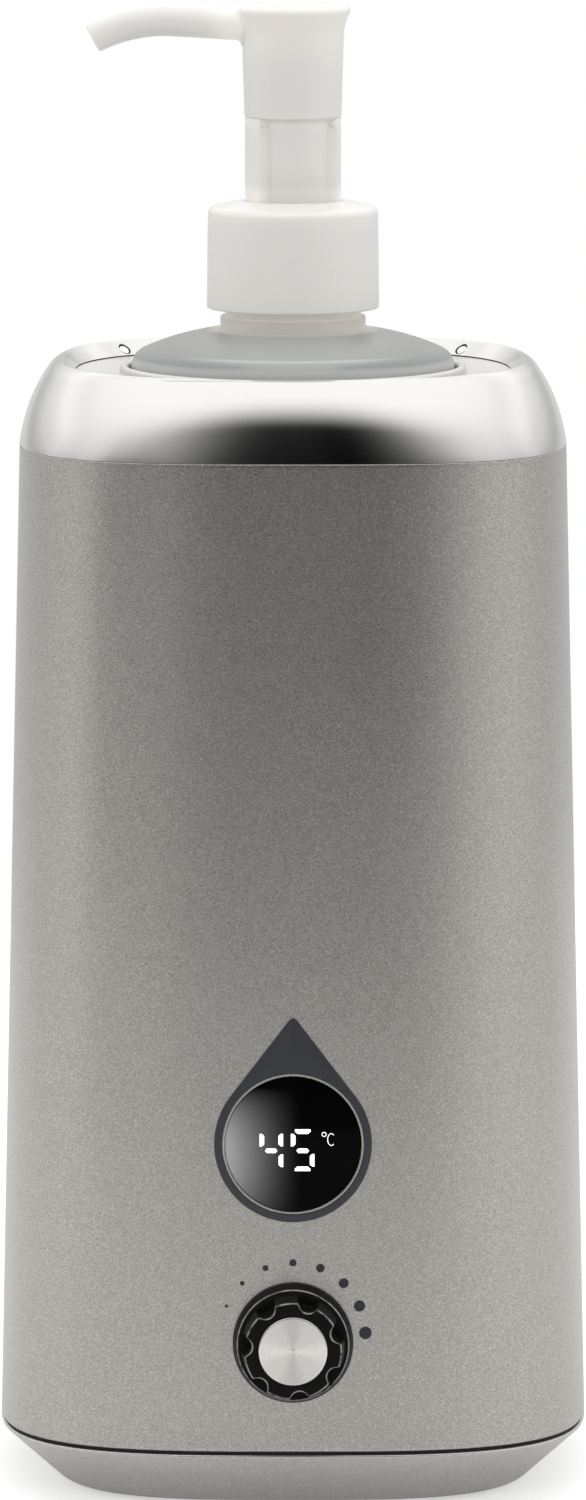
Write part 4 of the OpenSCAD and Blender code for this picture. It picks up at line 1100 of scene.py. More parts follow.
    def well(self) -> None:
        """Cup that holds the bottle, with its square-round ledge and a rounded lip."""
        ledge_z, floor_z = self.ledge_z, self.ledge_z - self.well_depth
        outer_r, corner = self.well_r + self.well_wall, self.well_corner + self.well_wall
        roll, lip_r = self.lip_w / 2, self.well_r + self.lip_w
        cup = [(0.0, floor_z - self.well_floor)]
        cup += arc(outer_r - corner, floor_z - self.well_floor + corner, corner, -90, 0, 8)
        cup += [(outer_r, ledge_z - self.flange_t)]
        mouth = [(lip_r + self.lip_foot[0], ledge_z), (lip_r, ledge_z + self.lip_foot[1])]
        mouth += arc(self.well_r + roll, ledge_z + self.lip_h - roll, roll, 0, 180, 12)
        mouth += [(self.well_r, floor_z + self.well_depth * share) for share in self.well_shares]
        corner = self.well_corner
        mouth += arc(self.well_r - corner, floor_z + corner, corner, 0, -90, 8)
        mouth += [(0.0, floor_z)]
        rings = [round_ring(r, z, PLAN_STEPS) for r, z in cup]
        turned = PLAN_STEPS // 4
        for z in (ledge_z - self.flange_t, ledge_z):
            ring = plan_ring(self.flange_half, self.ring_power(ledge_z), z)
            rings.append(ring[turned:] + ring[:turned])
        rings += [round_ring(r, z, PLAN_STEPS) for r, z in mouth]
        settle(skin("bottle_well", rings), Body.HOUSING, "well_aluminium", ["heating_cup"], sharp=35)

    def base(self) -> None:
        """Base with a sloped side and rounded edges, closed below."""
        e, r, slope = self.edge, self.base_edge, self.base_slope
        low = self.seam_half - (self.seam_z - self.base_z)
        inset = r * math.tan(math.radians(slope / 2))
        levels = arc(low - inset, self.base_z + r, r, -90, -slope, 10)
        levels += arc(self.seam_half - e, self.seam_z - e, e, -slope, 90, 6)
        levels += [(self.seam_half - self.base_rim, self.seam_z)]
        levels += [(self.seam_half - self.base_floor[0], self.base_z + self.base_floor[1])]
        piece = skin("base_shell", [plan_ring(h, self.power, z) for h, z in levels], caps=True)
        settle(piece, Body.HOUSING, "housing_grey", ["base_tray"], finish=BASE_PAINT_PAINTED_LIGHT)

    def build(self) -> None:
        """Makes the shell, the ring with its pins, the well and the base."""
        for make in (self.shell, self.ring, self.pins, self.well, self.base):
            make()


@dataclass
class Display:
    """Teardrop inlay, bright ring, glass and the lit reading.

    The fields hold the sizes. A segment has its place, length, turn and kind. The degree sign and the
    letter have their place, half their width and height, and their first and last angle.
    """

    housing: Housing
    rise: float = 36.4
    knob_z: float = 32.0
    drop_r: float = 14.3
    tip: float = 23.0
    tip_r: float = 0.9
    bowl_steps: int = 120
    side_steps: int = 24
    tip_steps: int = 15
    soft: float = 0.12
    soft_share: float = 0.3
    seat: float = 0.8
    proud: float = 0.25
    trim_w: float = 0.4
    trim_gap: float = 0.1
    trim_proud: float = 0.15
    lens_r: float = 12.4
    lens_gap: float = 0.05
    lens_sink: float = 0.05
    lens_soft: float = 0.2
    lens_steps: int = 24
    crown: float = 0.35
    lit_t: float = 0.05
    lit_rise: float = 0.4
    segment_w: float = 0.84
    segments: tuple[tuple[float, float, float, float, Bar], ...] = (
        (-5.65, 0.8, 2.3, 90.0, Bar.EDGE),
        (-3.97, -1.13, 2.25, 0.0, Bar.MIDDLE),
        (-2.22, 0.83, 2.3, -90.0, Bar.EDGE),
        (-2.2, -2.95, 2.3, -90.0, Bar.EDGE),
        (1.77, 2.38, 2.85, 0.0, Bar.EDGE),
        (0.03, 0.83, 2.3, 90.0, Bar.EDGE),
        (1.77, -1.12, 2.3, 0.0, Bar.MIDDLE),
        (3.47, -2.88, 2.3, -90.0, Bar.EDGE),
        (1.74, -4.43, 2.85, 180.0, Bar.EDGE),
    )
    stroke_w: float = 0.125
    stroke_steps: int = 32
    degree: tuple[Pair, Pair, Pair] = ((5.64, 1.86), (0.44, 0.44), (0.0, 360.0))
    letter: tuple[Pair, Pair, Pair] = ((6.94, 0.92), (0.72, 1.15), (48.0, 312.0))

    def place(self, piece: Piece) -> Piece:
        """Moves a piece to the middle of the glass."""
        piece.data.transform(self.housing.face(self.knob_z) @ Matrix.Translation((0, self.rise * MM, 0)))
        return piece

    def outline(self, grow: float) -> list[Pair]:
        """Teardrop outline.

        Args:
            grow: How far the outline moves out.

        Returns:
            Its points, counter-clockwise.
        """
        r, tip_r = self.drop_r + grow, self.tip_r + grow
        reach = self.tip - self.tip_r
        side = math.degrees(math.acos((r - tip_r) / reach))
        bowl = arc(0, 0, r, 90 + side, 450 - side, self.bowl_steps)
        tip = arc(0, reach, tip_r, 90 - side, 90 + side, self.tip_steps)
        shares = [i / self.side_steps for i in range(1, self.side_steps)]
        right, left = (
            [tuple(a + (b - a) * share for a, b in zip(start, end)) for share in shares]
            for start, end in ((bowl[-1], tip[0]), (tip[-1], bowl[0]))
        )
        return bowl + right + tip + left

    def inlay(self) -> None:
        """Dark inlay with a softened edge and a round hole."""
        hole = self.lens_r + self.trim_w + self.trim_gap
        soft, share, top = self.soft, self.soft * self.soft_share, self.proud
        levels = [(0.0, -self.seat), (0.0, top - soft), (-share, top - share), (-soft, top)]
        rings = [[(x, y, z) for x, y in self.outline(grow)] for grow, z in levels]
        for z in (top, -self.seat):
            around = ((x, y, math.hypot(x, y)) for x, y in self.outline(0.0))
            rings.append([(x / length * hole, y / length * hole, z) for x, y, length in around])
        piece = self.place(skin("teardrop_inlay", rings, loop=True))
        settle(piece, Body.HOUSING, "inlay_dark", ["display_bezel"])

    def trim(self) -> None:
        """Thin bright ring with a round top."""
        inner, roll = self.lens_r + self.lens_gap, self.trim_w / 2
        profile = [(inner, -self.seat), (inner + self.trim_w, -self.seat)]
        profile += arc(inner + roll, self.proud + self.trim_proud - roll, roll, 0, 180, 8)
        piece = self.place(lathe("display_ring", profile, loop=True))
        settle(piece, Body.HOUSING, "trim_silver", ["display_trim_ring"])

    def glass_at(self, r: float) -> float:
        """Height of the crowned glass at a distance from its middle."""
        return self.proud - self.lens_sink + self.crown * (1 - (r / self.lens_r) ** 2)

    def glass(self) -> None:
        """Black glass with a low crown and a bevelled rim."""
        profile = [(0, -self.seat), (self.lens_r, -self.seat)]
        profile += [(self.lens_r, self.glass_at(self.lens_r) - self.lens_soft)]
        for i in range(self.lens_steps + 1):
            r = (self.lens_r - self.lens_soft) * (1 - i / self.lens_steps)
            profile.append((r, self.glass_at(r)))
        piece = self.place(lathe("display_glass", profile))
        settle(piece, Body.HOUSING, "display_black", ["display_lens"])

    def bar_tree(self) -> Grower:
        """Geometry tree for one lit bar with mitred ends.

        Returns:
            The tree, whose inputs are the bar's sizes, mitres, turn and place.
        """
        numbers = ("Length", "Width", "Depth", "Inner", "Outer", "Turn")
        tree = Grower("lit_bar", dict.fromkeys(numbers, "Float") | {"Place": "Vector"})
        given = tree.given
        sockets = {"Size": tree.vector(given["Length"], given["Width"], given["Depth"])}
        sockets |= {"Vertices X": 2, "Vertices Y": 3, "Vertices Z": 2}
        bar = tree.wire("GeometryNodeMeshCube", None, sockets)
        x, y, z = tree.xyz(tree.wire("GeometryNodeInputPosition"))
        side = y * 2.0 / given["Width"]
        outer = side.math("MAXIMUM", 0.0) * given["Outer"]
        inner = (side * -1.0).math("MAXIMUM", 0.0) * given["Inner"]
        mitred = tree.vector(x * (1 - outer - inner), y, z)
        shaped = tree.wire("GeometryNodeSetPosition", None, {"Geometry": bar, "Position": mitred})
        sockets = {"Geometry": shaped, "Translation": given["Place"]}
        sockets["Rotation"] = tree.vector(0.0, 0.0, given["Turn"])
        tree.close(tree.wire("GeometryNodeTransform", None, sockets), LIT_WHITE.make())
        return tree

    def stroke(self, name: str, place: Pair, half: Pair, sweep: Pair) -> Piece:
        """A thin curved stroke on the glass.

        Args:
            name: Name of the piece.
            place: Its middle on the glass.
            half: Half its width and height.
            sweep: First and last angle, in degrees.

        Returns:
            The new object.
        """
        low = self.glass_at(math.hypot(*place))
        top = low + self.lit_t
        rings = []
        for i in range(self.stroke_steps + 1):
            turn = math.radians(sweep[0] + (sweep[1] - sweep[0]) * i / self.stroke_steps)
            c, s = math.cos(turn), math.sin(turn)
            inner, outer = (
                (place[0] + (half[0] - inset) * c, place[1] + (half[1] - inset) * s)
                for inset in (self.stroke_w, 0.0)
            )
            rings.append([(*inner, low), (*inner, top), (*outer, top), (*outer, low)])
        whole = sweep[1] - sweep[0] >= 360
        return skin(name, rings[:-1] if whole else rings, loop=whole, caps=not whole)

    def reading(self) -> None:
        """The lit number, with its degree sign and unit, just above the glass."""
        tree = self.bar_tree()
        bars = []
        for x, y, length, turn, bar in self.segments:
            z = self.glass_at(math.hypot(x, y)) + self.lit_t * self.lit_rise
            inner, outer = bar.value
            values = {
                "Length": length * MM,
                "Width": self.segment_w * MM,
                "Depth": self.lit_t * MM,
                "Inner": inner,
                "Outer": outer,
                "Turn": math.radians(turn),
                "Place": (x * MM, y * MM, z * MM),
            }
            bars.append(tree.grow("lit_bar", values))
        bars.append(self.stroke("lit_degree", *self.degree))
        bars.append(self.stroke("lit_unit", *self.letter))
        piece = self.place(joined("lit_reading", bars))
        settle(piece, Body.HOUSING, "display_black", finish=LIT_WHITE)

    def build(self) -> None:
        """Makes the four pieces."""
        for make in (self.inlay, self.trim, self.glass, self.reading):
            make()


@dataclass
class Dial:
    """Knob, its turned disc and the printed scale.

    The fields hold the sizes. The points of grip_root, cap_seat and disc_edge are given from the
    corner that they soften, those of grip_root with the share of the scallops. edge_light_skirt and
    edge_light_grip say how deep and how far out an edge gets a painted highlight.
    """

    housing: Housing
    knob_z: float = 32.0
    gap: float = 0.5
    knob_steps: int = 252
    hub_z: float = 7.6
    foot_r: float = 10.95
    foot_soft: float = 0.4
    skirt_r: float = 10.3
    skirt_h: float = 3.4
    skirt_soft: float = 0.35
    skirt_turn: float = 10.0
    grip_r: float = 9.5
    grip_root: tuple[Point, ...] = (
        (0.15, 0.0, 0.0), (0.0, 0.15, 0.0), (-0.03, 0.25, 0.0), (-0.04, 0.32, 0.9), (-0.06, 0.5, 1.0)
    )
    grip_top_r: float = 8.95
    grip_soft: float = 0.4
    height: float = 10.0
    scallops: int = 7
    scallop_turn: float = 0.65
    scallop_r: float = 1.9
    scallop_depth: float = 1.4
    scallop_soft: float = 0.45
    edge_light_start: float = 0.004
    edge_light_skirt: Pair = (0.14, 0.3)
    edge_light_grip: Pair = (0.13, 0.65)
    cavity_r: float = 6.5
    cap_r: float = 6.25
    cap_t: float = 1.0
    cap_gap: float = 0.05
    cap_proud: float = 0.2
    cap_seat: tuple[Pair, ...] = ((0.6, 0.0), (0.2, 0.0), (0.06, -0.14))
    disc_edge: tuple[Pair, ...] = ((0.0, -0.15), (-0.12, -0.02))
    disc_rim: float = 0.3
    groove: float = 0.37
    groove_depth: float = 0.02
    dots: int = 8
    dot_steps: int = 40
    dot_ring_r: float = 13.15
    dot_ring_rise: float = 1.5
    dot_first: float = 156.8
    dot_step: float = 22.25
    dot_sizes: Pair = (0.62, 2.3)
    dot_t: float = 0.06

    def notch(self, turn: float, r: float) -> float:
        """Radius of the scalloped grip at an angle.

        Args:
            turn: Angle from the knob's top, in radians.
            r: Radius without scallops.

        Returns:
            The radius, blended softly into each scallop.
        """
        step = 2 * math.pi / self.scallops
        off = (turn - self.scallop_turn * step + step / 2) % step - step / 2
        middle = self.grip_top_r - self.scallop_depth + self.scallop_r
        across = middle * math.sin(off)
        if abs(across) >= self.scallop_r:
            return r
        cut = middle * math.cos(off) - math.sqrt(self.scallop_r**2 - across**2)
        return soft_least(r, cut, self.scallop_soft)

    def grip_ring(self, r: float, z: float, cut: float = 0.0, inset: float = 0.0) -> Ring:
        """One level of the knob.

        Args:
            r: Radius without scallops.
            z: Height off the wall.
            cut: Share of the scallops, from 0 to 1.
            inset: How far the scalloped outline moves in.

        Returns:
            The level's points.
        """
        ring = []
        for turn in turns(self.knob_steps):
            reach = r + (self.notch(turn, r) - r) * cut - inset
            ring.append((-reach * math.sin(turn), reach * math.cos(turn), z))
        return ring

    def has_painted_edge_light(self, point: Vector) -> bool:
        """Whether a point of the knob lies on an edge with a painted highlight.

        Args:
            point: The point, in metres off the wall.

        Returns:
            Whether it does.
        """
        reach, z = math.hypot(point.x, point.y) / MM, point.z / MM
        skirt, skirt_out = self.edge_light_skirt
        grip, grip_out = self.edge_light_grip
        on_skirt = self.edge_light_start < self.skirt_h - z < skirt and reach > self.grip_r + skirt_out
        return on_skirt or (self.edge_light_start < self.height - z < grip and reach > self.cap_r + grip_out)

    def knob(self) -> None:
        """Knob with a tapered skirt, a scalloped grip and a seat for the disc."""
        floor = self.height + self.cap_proud - self.cap_t
        foot, skirt, grip = self.foot_soft, self.skirt_soft, self.grip_soft
        levels = [(0.0, self.hub_z), (self.cavity_r, self.hub_z), (self.cavity_r, self.gap)]
        levels += arc(self.foot_r - foot, self.gap + foot, foot, -90, 0, 5)
        levels += arc(self.skirt_r - skirt, self.skirt_h - skirt, skirt, self.skirt_turn, 90, 5)
        levels += [(self.grip_r + x, self.skirt_h + z, cut) for x, z, cut in self.grip_root]
        top = arc(-grip, self.height - grip, grip, 0, 90, 6)
        levels += [(self.grip_top_r, z, 1.0, -x) for x, z in top]
        levels += [(self.cap_r + x, self.height + z) for x, z in self.cap_seat]
        levels += [(self.cap_r + self.cap_gap, floor), (0.0, floor)]
        piece = skin("scalloped_knob", [self.grip_ring(*level) for level in levels])
        # painted highlights along the top edges of the skirt and the grip
        mark(piece, (self.has_painted_edge_light(vertex.co) for vertex in piece.data.vertices))
        piece.data.transform(self.housing.face(self.knob_z))
        settle(piece, Body.KNOB, "knob_black", ["knob"], sharp=35)

    def disc(self) -> None:
        """Disc with turned grooves."""
        top = self.height + self.cap_proud
        profile = [(0, top - self.cap_t), (self.cap_r, top - self.cap_t)]
        profile += [(self.cap_r + x, top + z) for x, z in self.disc_edge]
        r, deep = self.cap_r - self.disc_rim, False
        while r > self.groove:
            profile.append((r, top - (self.groove_depth if deep else 0.0)))
            r, deep = r - self.groove / 2, not deep
        profile.append((0, top))
        piece = lathe("turned_disc", profile)
        place = self.housing.face(self.knob_z)
        piece.data.transform(place)
        centre = tuple(place @ Vector((0, 0, top * MM)))
        finish = replace(FINISHES["turned_disc"], centre=centre, pitch=self.groove)
        settle(piece, Body.KNOB, "turned_disc", ["knob_cap"], finish=finish, sharp=80)

    def dot_tree(self) -> Grower:
        """Geometry tree for a row of discs that grow along an arc.

        Returns:
            The tree, whose inputs are the row's count, angles and sizes.
        """
        numbers = ("Radius", "First", "Step", "Smallest", "Largest", "Depth")
        tree = Grower("dial_dots", {"Count": "Int"} | dict.fromkeys(numbers, "Float"))
        given = tree.given
        index = tree.wire("GeometryNodeInputIndex")
        angle = given["First"] - index * given["Step"]
        spot = tree.vector(given["Radius"] * angle.math("COSINE"), given["Radius"] * angle.math("SINE"))
        share = index / (given["Count"] - 1.0)
        size = given["Smallest"] + share * (given["Largest"] - given["Smallest"])
        line = tree.wire("GeometryNodeMeshLine", None, {"Count": given["Count"]})
        spread = tree.wire("GeometryNodeSetPosition", None, {"Geometry": line, "Position": spot})
        sockets = {"Vertices": self.dot_steps, "Radius": 0.5, "Depth": given["Depth"]}
        disc = tree.wire("GeometryNodeMeshCylinder", {"fill_type": "TRIANGLE_FAN"}, sockets)
        sockets = {"Points": spread, "Instance": disc, "Scale": tree.vector(size, size, 1.0)}
        tree.close(tree.wire("GeometryNodeInstanceOnPoints", None, sockets), PRINT_GREY.make())
        return tree

    def scale(self) -> None:
        """Printed dots round the knob, laid on the curved wall."""
        values = {
            "Count": self.dots,
            "Radius": self.dot_ring_r * MM,
            "First": math.radians(self.dot_first),
            "Step": math.radians(self.dot_step),
            "Smallest": self.dot_sizes[0] * MM,
            "Largest": self.dot_sizes[1] * MM,
            "Depth": self.dot_t * MM,
        }
        piece = self.dot_tree().grow("scale_dots", values)
        for vertex in piece.data.vertices:
            vertex.co.y += self.dot_ring_rise * MM
            vertex.co.z -= self.housing.sag(vertex.co.x / MM, self.knob_z) * MM
        piece.data.transform(self.housing.face(self.knob_z))
        settle(piece, Body.HOUSING, "housing_grey", finish=PRINT_GREY)

    def build(self) -> None:
        """Makes the knob, the disc and the scale."""
        for make in (self.knob, self.disc, self.scale):
            make()


@dataclass
class Bottle:
    """Frosted bottle with a rounded shoulder, a bead and a neck.

    The fields hold the sizes. The points of bead_foot are given from the bead's foot, and past says
    how far past the last curve's end the dome and the shoulder's inside start, in degrees.
    """

    steps: int = 160
    foot_z: float = 97.0
    r: float = 29.8
    wall: float = 1.5
    side: float = 108.0
    foot_r: float = 5.0
    push: float = 2.0
    push_in: float = 3.0
    push_w: float = 1.5
    push_share: float = 0.4
    shoulder_r: float = 3.5
    turns: Pair = (66.0, 84.0)
    past: Pair = (1.0, 6.0)
    bead_gap: float = 0.2
    bead_foot: tuple[Pair, ...] = ((0.05, 0.08), (0.0, 0.25))
    bead_r: float = 13.4
    bead_h: float = 2.4
    bead_edge: float = 0.25
    neck_r: float = 12.5
    neck_soft: float = 0.1
    neck_edge: float = 0.5
    neck_h: float = 18.2
    bore_r: float = 10.6

    @property
    def edge(self) -> Pair:
        """Centre of the shoulder's edge."""
        return self.r - self.shoulder_r, self.foot_z + self.side

    @property
    def crown_r(self) -> float:
        """Radius of the shoulder's dome."""
        first, last = (math.cos(math.radians(t)) for t in self.turns)
        return (self.edge[0] + self.shoulder_r * first - self.bead_r - self.bead_gap) / (first - last)

    @property
    def crown(self) -> Pair:
        """Centre of the shoulder's dome."""
        turn, gap = math.radians(self.turns[0]), self.crown_r - self.shoulder_r
        return self.edge[0] - gap * math.cos(turn), self.edge[1] - gap * math.sin(turn)

    def build(self) -> None:
        """Makes the bottle as one closed wall."""
        first, last = self.turns
        neck_z = self.crown[1] + self.crown_r * math.sin(math.radians(last))
        bead_z, top = neck_z + self.bead_h, neck_z + self.neck_h
        floor, inner, soft = self.foot_z + self.wall, self.foot_r - self.wall, self.bead_edge
        bore_turn = math.degrees(math.acos((self.bore_r - self.crown[0]) / (self.crown_r - self.wall)))
        push_r = self.r - self.foot_r - self.push_in
        push = [(0.0, self.push), (push_r, self.push * self.push_share), (push_r + self.push_w, 0.0)]
        profile = [(r, self.foot_z + z) for r, z in push]
        profile += arc(self.r - self.foot_r, self.foot_z + self.foot_r, self.foot_r, -90, 0, 10)
        profile += arc(*self.edge, self.shoulder_r, 0, first, 12)
        profile += arc(*self.crown, self.crown_r, first + self.past[0], last, 18)
        profile += [(self.bead_r + x, neck_z + z) for x, z in self.bead_foot]
        profile += arc(self.bead_r - soft, bead_z - soft, soft, 0, 90, 5)
        profile += [(self.neck_r + self.neck_soft, bead_z), (self.neck_r, bead_z + self.neck_soft)]
        profile += [(self.neck_r, top - self.neck_edge), (self.neck_r - self.neck_edge, top)]
        profile += [(self.bore_r, top)]
        profile += arc(*self.crown, self.crown_r - self.wall, bore_turn, first, 14)
        profile += arc(*self.edge, self.shoulder_r - self.wall, first - self.past[1], 0, 8)
        profile += arc(self.r - self.wall - inner, floor + inner, inner, 0, -90, 8)
        profile += [(r, floor + z) for r, z in reversed(push)]
        piece = lathe("frosted_bottle", profile, count=self.steps)
        settle(piece, Body.BOTTLE, "bottle_frosted", ["bottle"])


@dataclass
class Pump:
    """White closure, guide sleeve and head with its spout.

    The fields hold the sizes. The points of closure_sides are given from the closure's lower and
    upper edge, those of plate from the hole and the crown, and those of dish from the head's rim.
    The painted glows are in metres.
    """

    closure_r: float = 15.9
    closure_top_r: float = 15.65
    closure_z: float = 215.8
    closure_foot: float = 0.35
    closure_sides: tuple[Pair, Pair] = ((-0.06, 4.0), (0.1, -6.0))
    closure_edge: float = 1.4
    closure_turns: Pair = (-70.0, 82.0)
    plate: tuple[Pair, ...] = ((2.0, -0.42), (0.3, -0.05), (0.0, -0.25))
    plate_z: float = 232.6
    edge_z: float = 234.6
    crown_z: float = 235.7
    bore_r: float = 13.95
    hole_gap: float = 0.3
    sleeve_r: float = 8.85
    core_r: float = 7.25
    flat: float = 4.9
    flat_turn: float = 12.0
    flat_least: float = 0.1
    sleeve_z: float = 235.0
    sleeve_soft: float = 0.15
    sleeve_steps: int = 120
    sleeve_bore_r: float = 5.85
    lip_soft: Pair = (0.25, 0.12)
    lip_reach: float = 4.0
    lip_steps: int = 40
    spigot_gap: float = 0.05
    spigot_step: float = 0.3
    spigot_h: float = 3.0
    stop_r: float = 0.6
    stop_steps: tuple[int, int] = (20, 12)
    head_z: float = 251.0
    head_h: float = 20.5
    head_r: float = 9.35
    head_foot_r: float = 8.95
    head_foot: float = 0.4
    rim_r: float = 10.6
    rim_soft: float = 1.1
    rim_turn: float = 15.0
    flare_h: float = 6.0
    flare_power: float = 2.2
    flare_steps: int = 12
    dish: tuple[Pair, ...] = ((-2.0, -0.03), (-3.2, -0.22), (-5.5, -0.36))
    dish_depth: float = 0.4
    cavity_r: float = 7.75
    cavity_h: float = 11.0
    socket_r: float = 5.55
    socket_z: float = 1.1
    stem_r: float = 3.65
    stem_top: float = 7.0
    spout_r: float = 2.95
    spout_tip_r: float = 2.78
    spout_drop: float = 1.1
    spout_run: float = 22.0
    spout_rise: float = 3.0
    spout_bend: float = 31.0
    spout_bend_r: float = 28.4
    spout_start: float = 6.0
    spout_sink: float = 0.05
    spout_lip: float = 0.3
    spout_lip_turn: float = 15.0
    spout_steps: int = 36
    section_steps: int = 48
    fillet: float = 1.0
    fillet_steps: int = 8
    fillet_share: float = 0.25
    channel_r: float = 1.7
    channel_soft: float = 0.2
    # painted glows that lift the shade on the sleeve above the closure and under the head
    sleeve_painted_glows: tuple[PaintedGlow, ...] = (
        ((0.0, 0.0, 0.2355), (1.0, 1.0, 0.004), 0.24),
        ((0.0, 0.0, 0.2506), (1.0, 1.0, 0.0025), 0.09),
    )
    # painted glow that lifts the shade where the spout meets the head
    spout_painted_glow: PaintedGlow = ((-0.01, 0.0, 0.2683), (0.009, 0.006, 0.006), 0.25)

    def closure(self) -> None:
        """Closure with a rounded top edge and a crowned plate."""
        foot, edge, hole = self.closure_foot, self.closure_edge, self.sleeve_r + self.hole_gap
        (low_x, low_z), (high_x, high_z) = self.closure_sides
        start, end = self.closure_turns
        profile = [(self.bore_r, self.closure_z), (self.closure_r - foot, self.closure_z)]
        profile += arc(self.closure_r - foot, self.closure_z + foot, foot, start, 0, 4)
        profile += [(self.closure_r + low_x, self.closure_z + low_z)]
        profile += [(self.closure_top_r + high_x, self.edge_z + high_z)]
        profile += arc(self.closure_top_r - edge, self.edge_z - edge, edge, 0, end, 12)
        profile += [(hole + x, self.crown_z + z) for x, z in self.plate]
        profile += [(hole, self.plate_z), (self.bore_r, self.plate_z)]
        settle(lathe("smooth_closure", profile, loop=True), Body.COLLAR, "pump_white", ["pump_closure"])

    def sleeve_angles(self) -> list[float]:
        """Angles of the sleeve's points, closer together at the lips of its flat.

        Returns:
            The angles from the middle of the flat, in degrees.
        """
        low, high = (math.degrees(math.acos(self.flat / r)) for r in (self.core_r, self.sleeve_r))
        angles = {-180 + 360 * i / self.sleeve_steps for i in range(self.sleeve_steps)}
        start, span = low - self.lip_reach, high - low + 2 * self.lip_reach
        fine = [start + span * i / self.lip_steps for i in range(self.lip_steps + 1)]
        return sorted(angles | set(fine) | {-a for a in fine})

    def sleeve_wall(self, angle: float) -> float:
        """Radius of the sleeve's outline.

        Args:
            angle: Angle from the middle of the flat, in degrees.

        Returns:
            The radius, with softened lips.
        """
        lip, root = self.lip_soft
        c = math.cos(math.radians(angle))
        wall = soft_least(self.sleeve_r, self.flat / c, lip) if c > self.flat_least else self.sleeve_r
        return -soft_least(-wall, -self.core_r, root)

    def sleeve_ring(self, z: float, inset: float = 0.0, r: float | None = None) -> Ring:
        """One level of the sleeve.

        Args:
            z: Height of the level.
            inset: How far the outline stands back.
            r: Radius, where the level is round.

        Returns:
            Its points, counter-clockwise.
        """
        ring = []
        for angle in self.sleeve_angles():
            reach = r if r else self.sleeve_wall(angle) - inset
            turn = math.radians(angle - 90 + self.flat_turn)
            ring.append((reach * math.cos(turn), reach * math.sin(turn), z))
        return ring

    def sleeve(self) -> None:
        """Sleeve that is cut flat at the front, with two small stops under the head."""
        low, high, top = self.sleeve_z, self.head_z, self.head_z + self.spigot_h
        step, spigot = self.spigot_step, self.cavity_r - self.spigot_gap
        rings = [self.sleeve_ring(low, self.sleeve_soft), self.sleeve_ring(low + self.sleeve_soft)]
        rings += [self.sleeve_ring(high)]
        round_levels = [(high, self.core_r - step), (high + step, spigot), (top, spigot)]
        round_levels += [(top, self.sleeve_bore_r), (low, self.sleeve_bore_r)]
        rings += [self.sleeve_ring(z, r=r) for z, r in round_levels]
        piece = skin("guide_sleeve", rings, loop=True)
        lip = sum(math.sqrt(r**2 - self.flat**2) for r in (self.sleeve_r, self.core_r)) / 2
        spin = Matrix.Rotation(math.radians(self.flat_turn - 90), 4, "Z")
        around, up = self.stop_steps
        work = bmesh.new()
        work.from_mesh(piece.data)
        for side in (-1, 1):
            spot = Vector((self.flat - self.stop_r / 3, side * lip, self.head_z - 2 * self.stop_r))
            place, r = spin @ Matrix.Translation(spot * MM), self.stop_r * MM
            bmesh.ops.create_uvsphere(work, u_segments=around, v_segments=up, radius=r, matrix=place)
        work.to_mesh(piece.data)
        work.free()
        # the sleeve's white gets painted glows in its shaded bands
        finish = replace(FINISHES["pump_white"], name="sleeve_white", painted_glows=self.sleeve_painted_glows)
        settle(piece, Body.HEAD, "pump_white", ["pump_sleeve"], finish=finish, sharp=50)

    def spout_path(self, along: float) -> Point:
        """A point of the spout's axis.

        Args:
            along: Distance along the axis from the head's middle.

        Returns:
            The point's X and Z and the axis's rise there, in radians.
        """
        rise, r = math.radians(self.spout_rise), self.spout_bend_r
        straight = min(along, self.spout_run)
        x = -straight * math.cos(rise)
        z = self.head_z + self.head_h - self.spout_r - self.spout_drop + straight * math.sin(rise)
        if along <= self.spout_run:
            return x, z, rise
        bent = rise - (along - self.spout_run) / r
        return x - r * math.sin(rise) + r * math.sin(bent), z - r * math.cos(rise) + r * math.cos(bent), bent

    def spout_ring(self, along: float, r: float, flare: float = 0.0, hug: float = 0.0) -> Ring:
        """One section of the spout, square to its axis.

        Args:
            along: Distance along the axis.
            r: Radius.
            flare: How much wider the section is below and beside the axis.
            hug: How closely the section follows the head's round wall, from 0 to 1.

        Returns:
            The section's points.
        """
        x, z, rise = self.spout_path(along)
        ring = []
        for turn in turns(self.section_steps):
            side, up = math.cos(turn), math.sin(turn)
            below = self.fillet_share + (1 - self.fillet_share) * (1 - max(0.0, up))
            reach = r + flare * below
            back = hug * (self.head_r - math.sqrt(self.head_r**2 - (reach * side) ** 2))
            lean_x, lean_z = reach * up * math.sin(rise), reach * up * math.cos(rise)
            ring.append((x + back + lean_x, reach * side, z + lean_z))
        return ring

    def spout_rings(self) -> list[Ring]:
        """Sections of the spout.

        Returns:
            The sections, out along the tube and back along its channel.
        """
        length = self.spout_run + math.radians(self.spout_bend) * self.spout_bend_r
        root, fillet, lip = self.head_r - self.spout_sink, self.fillet, self.spout_lip
        start, end, shrink = root + fillet, length - lip, self.spout_tip_r - self.spout_r
        rings = [self.spout_ring(self.spout_start, self.spout_r, fillet)]
        tube = []
        for i in range(self.fillet_steps + 1):
            off = fillet * i / self.fillet_steps
            flare = fillet - math.sqrt(max(0.0, fillet**2 - (fillet - off) ** 2))
            tube.append((root + off, flare, 1 - i / self.fillet_steps))
        for i in range(1, self.spout_steps + 1):
            tube.append((start + (end - start) * i / self.spout_steps, 0.0, 0.0))
        for along, flare, hug in tube:
            r = self.spout_r + shrink * max(0.0, along - root) / (length - root)
            rings.append(self.spout_ring(along, r, flare, hug))
        tip = arc(self.spout_tip_r - lip, end, lip, self.spout_lip_turn, 90, 4)
        tip += [(self.channel_r + self.channel_soft, length)]
        mouth = length - self.channel_soft
        tip += [
            (self.channel_r, mouth + (self.spout_start - mouth) * i / self.spout_steps)
            for i in range(self.spout_steps + 1)
        ]
        return rings + [self.spout_ring(along, r) for r, along in tip]

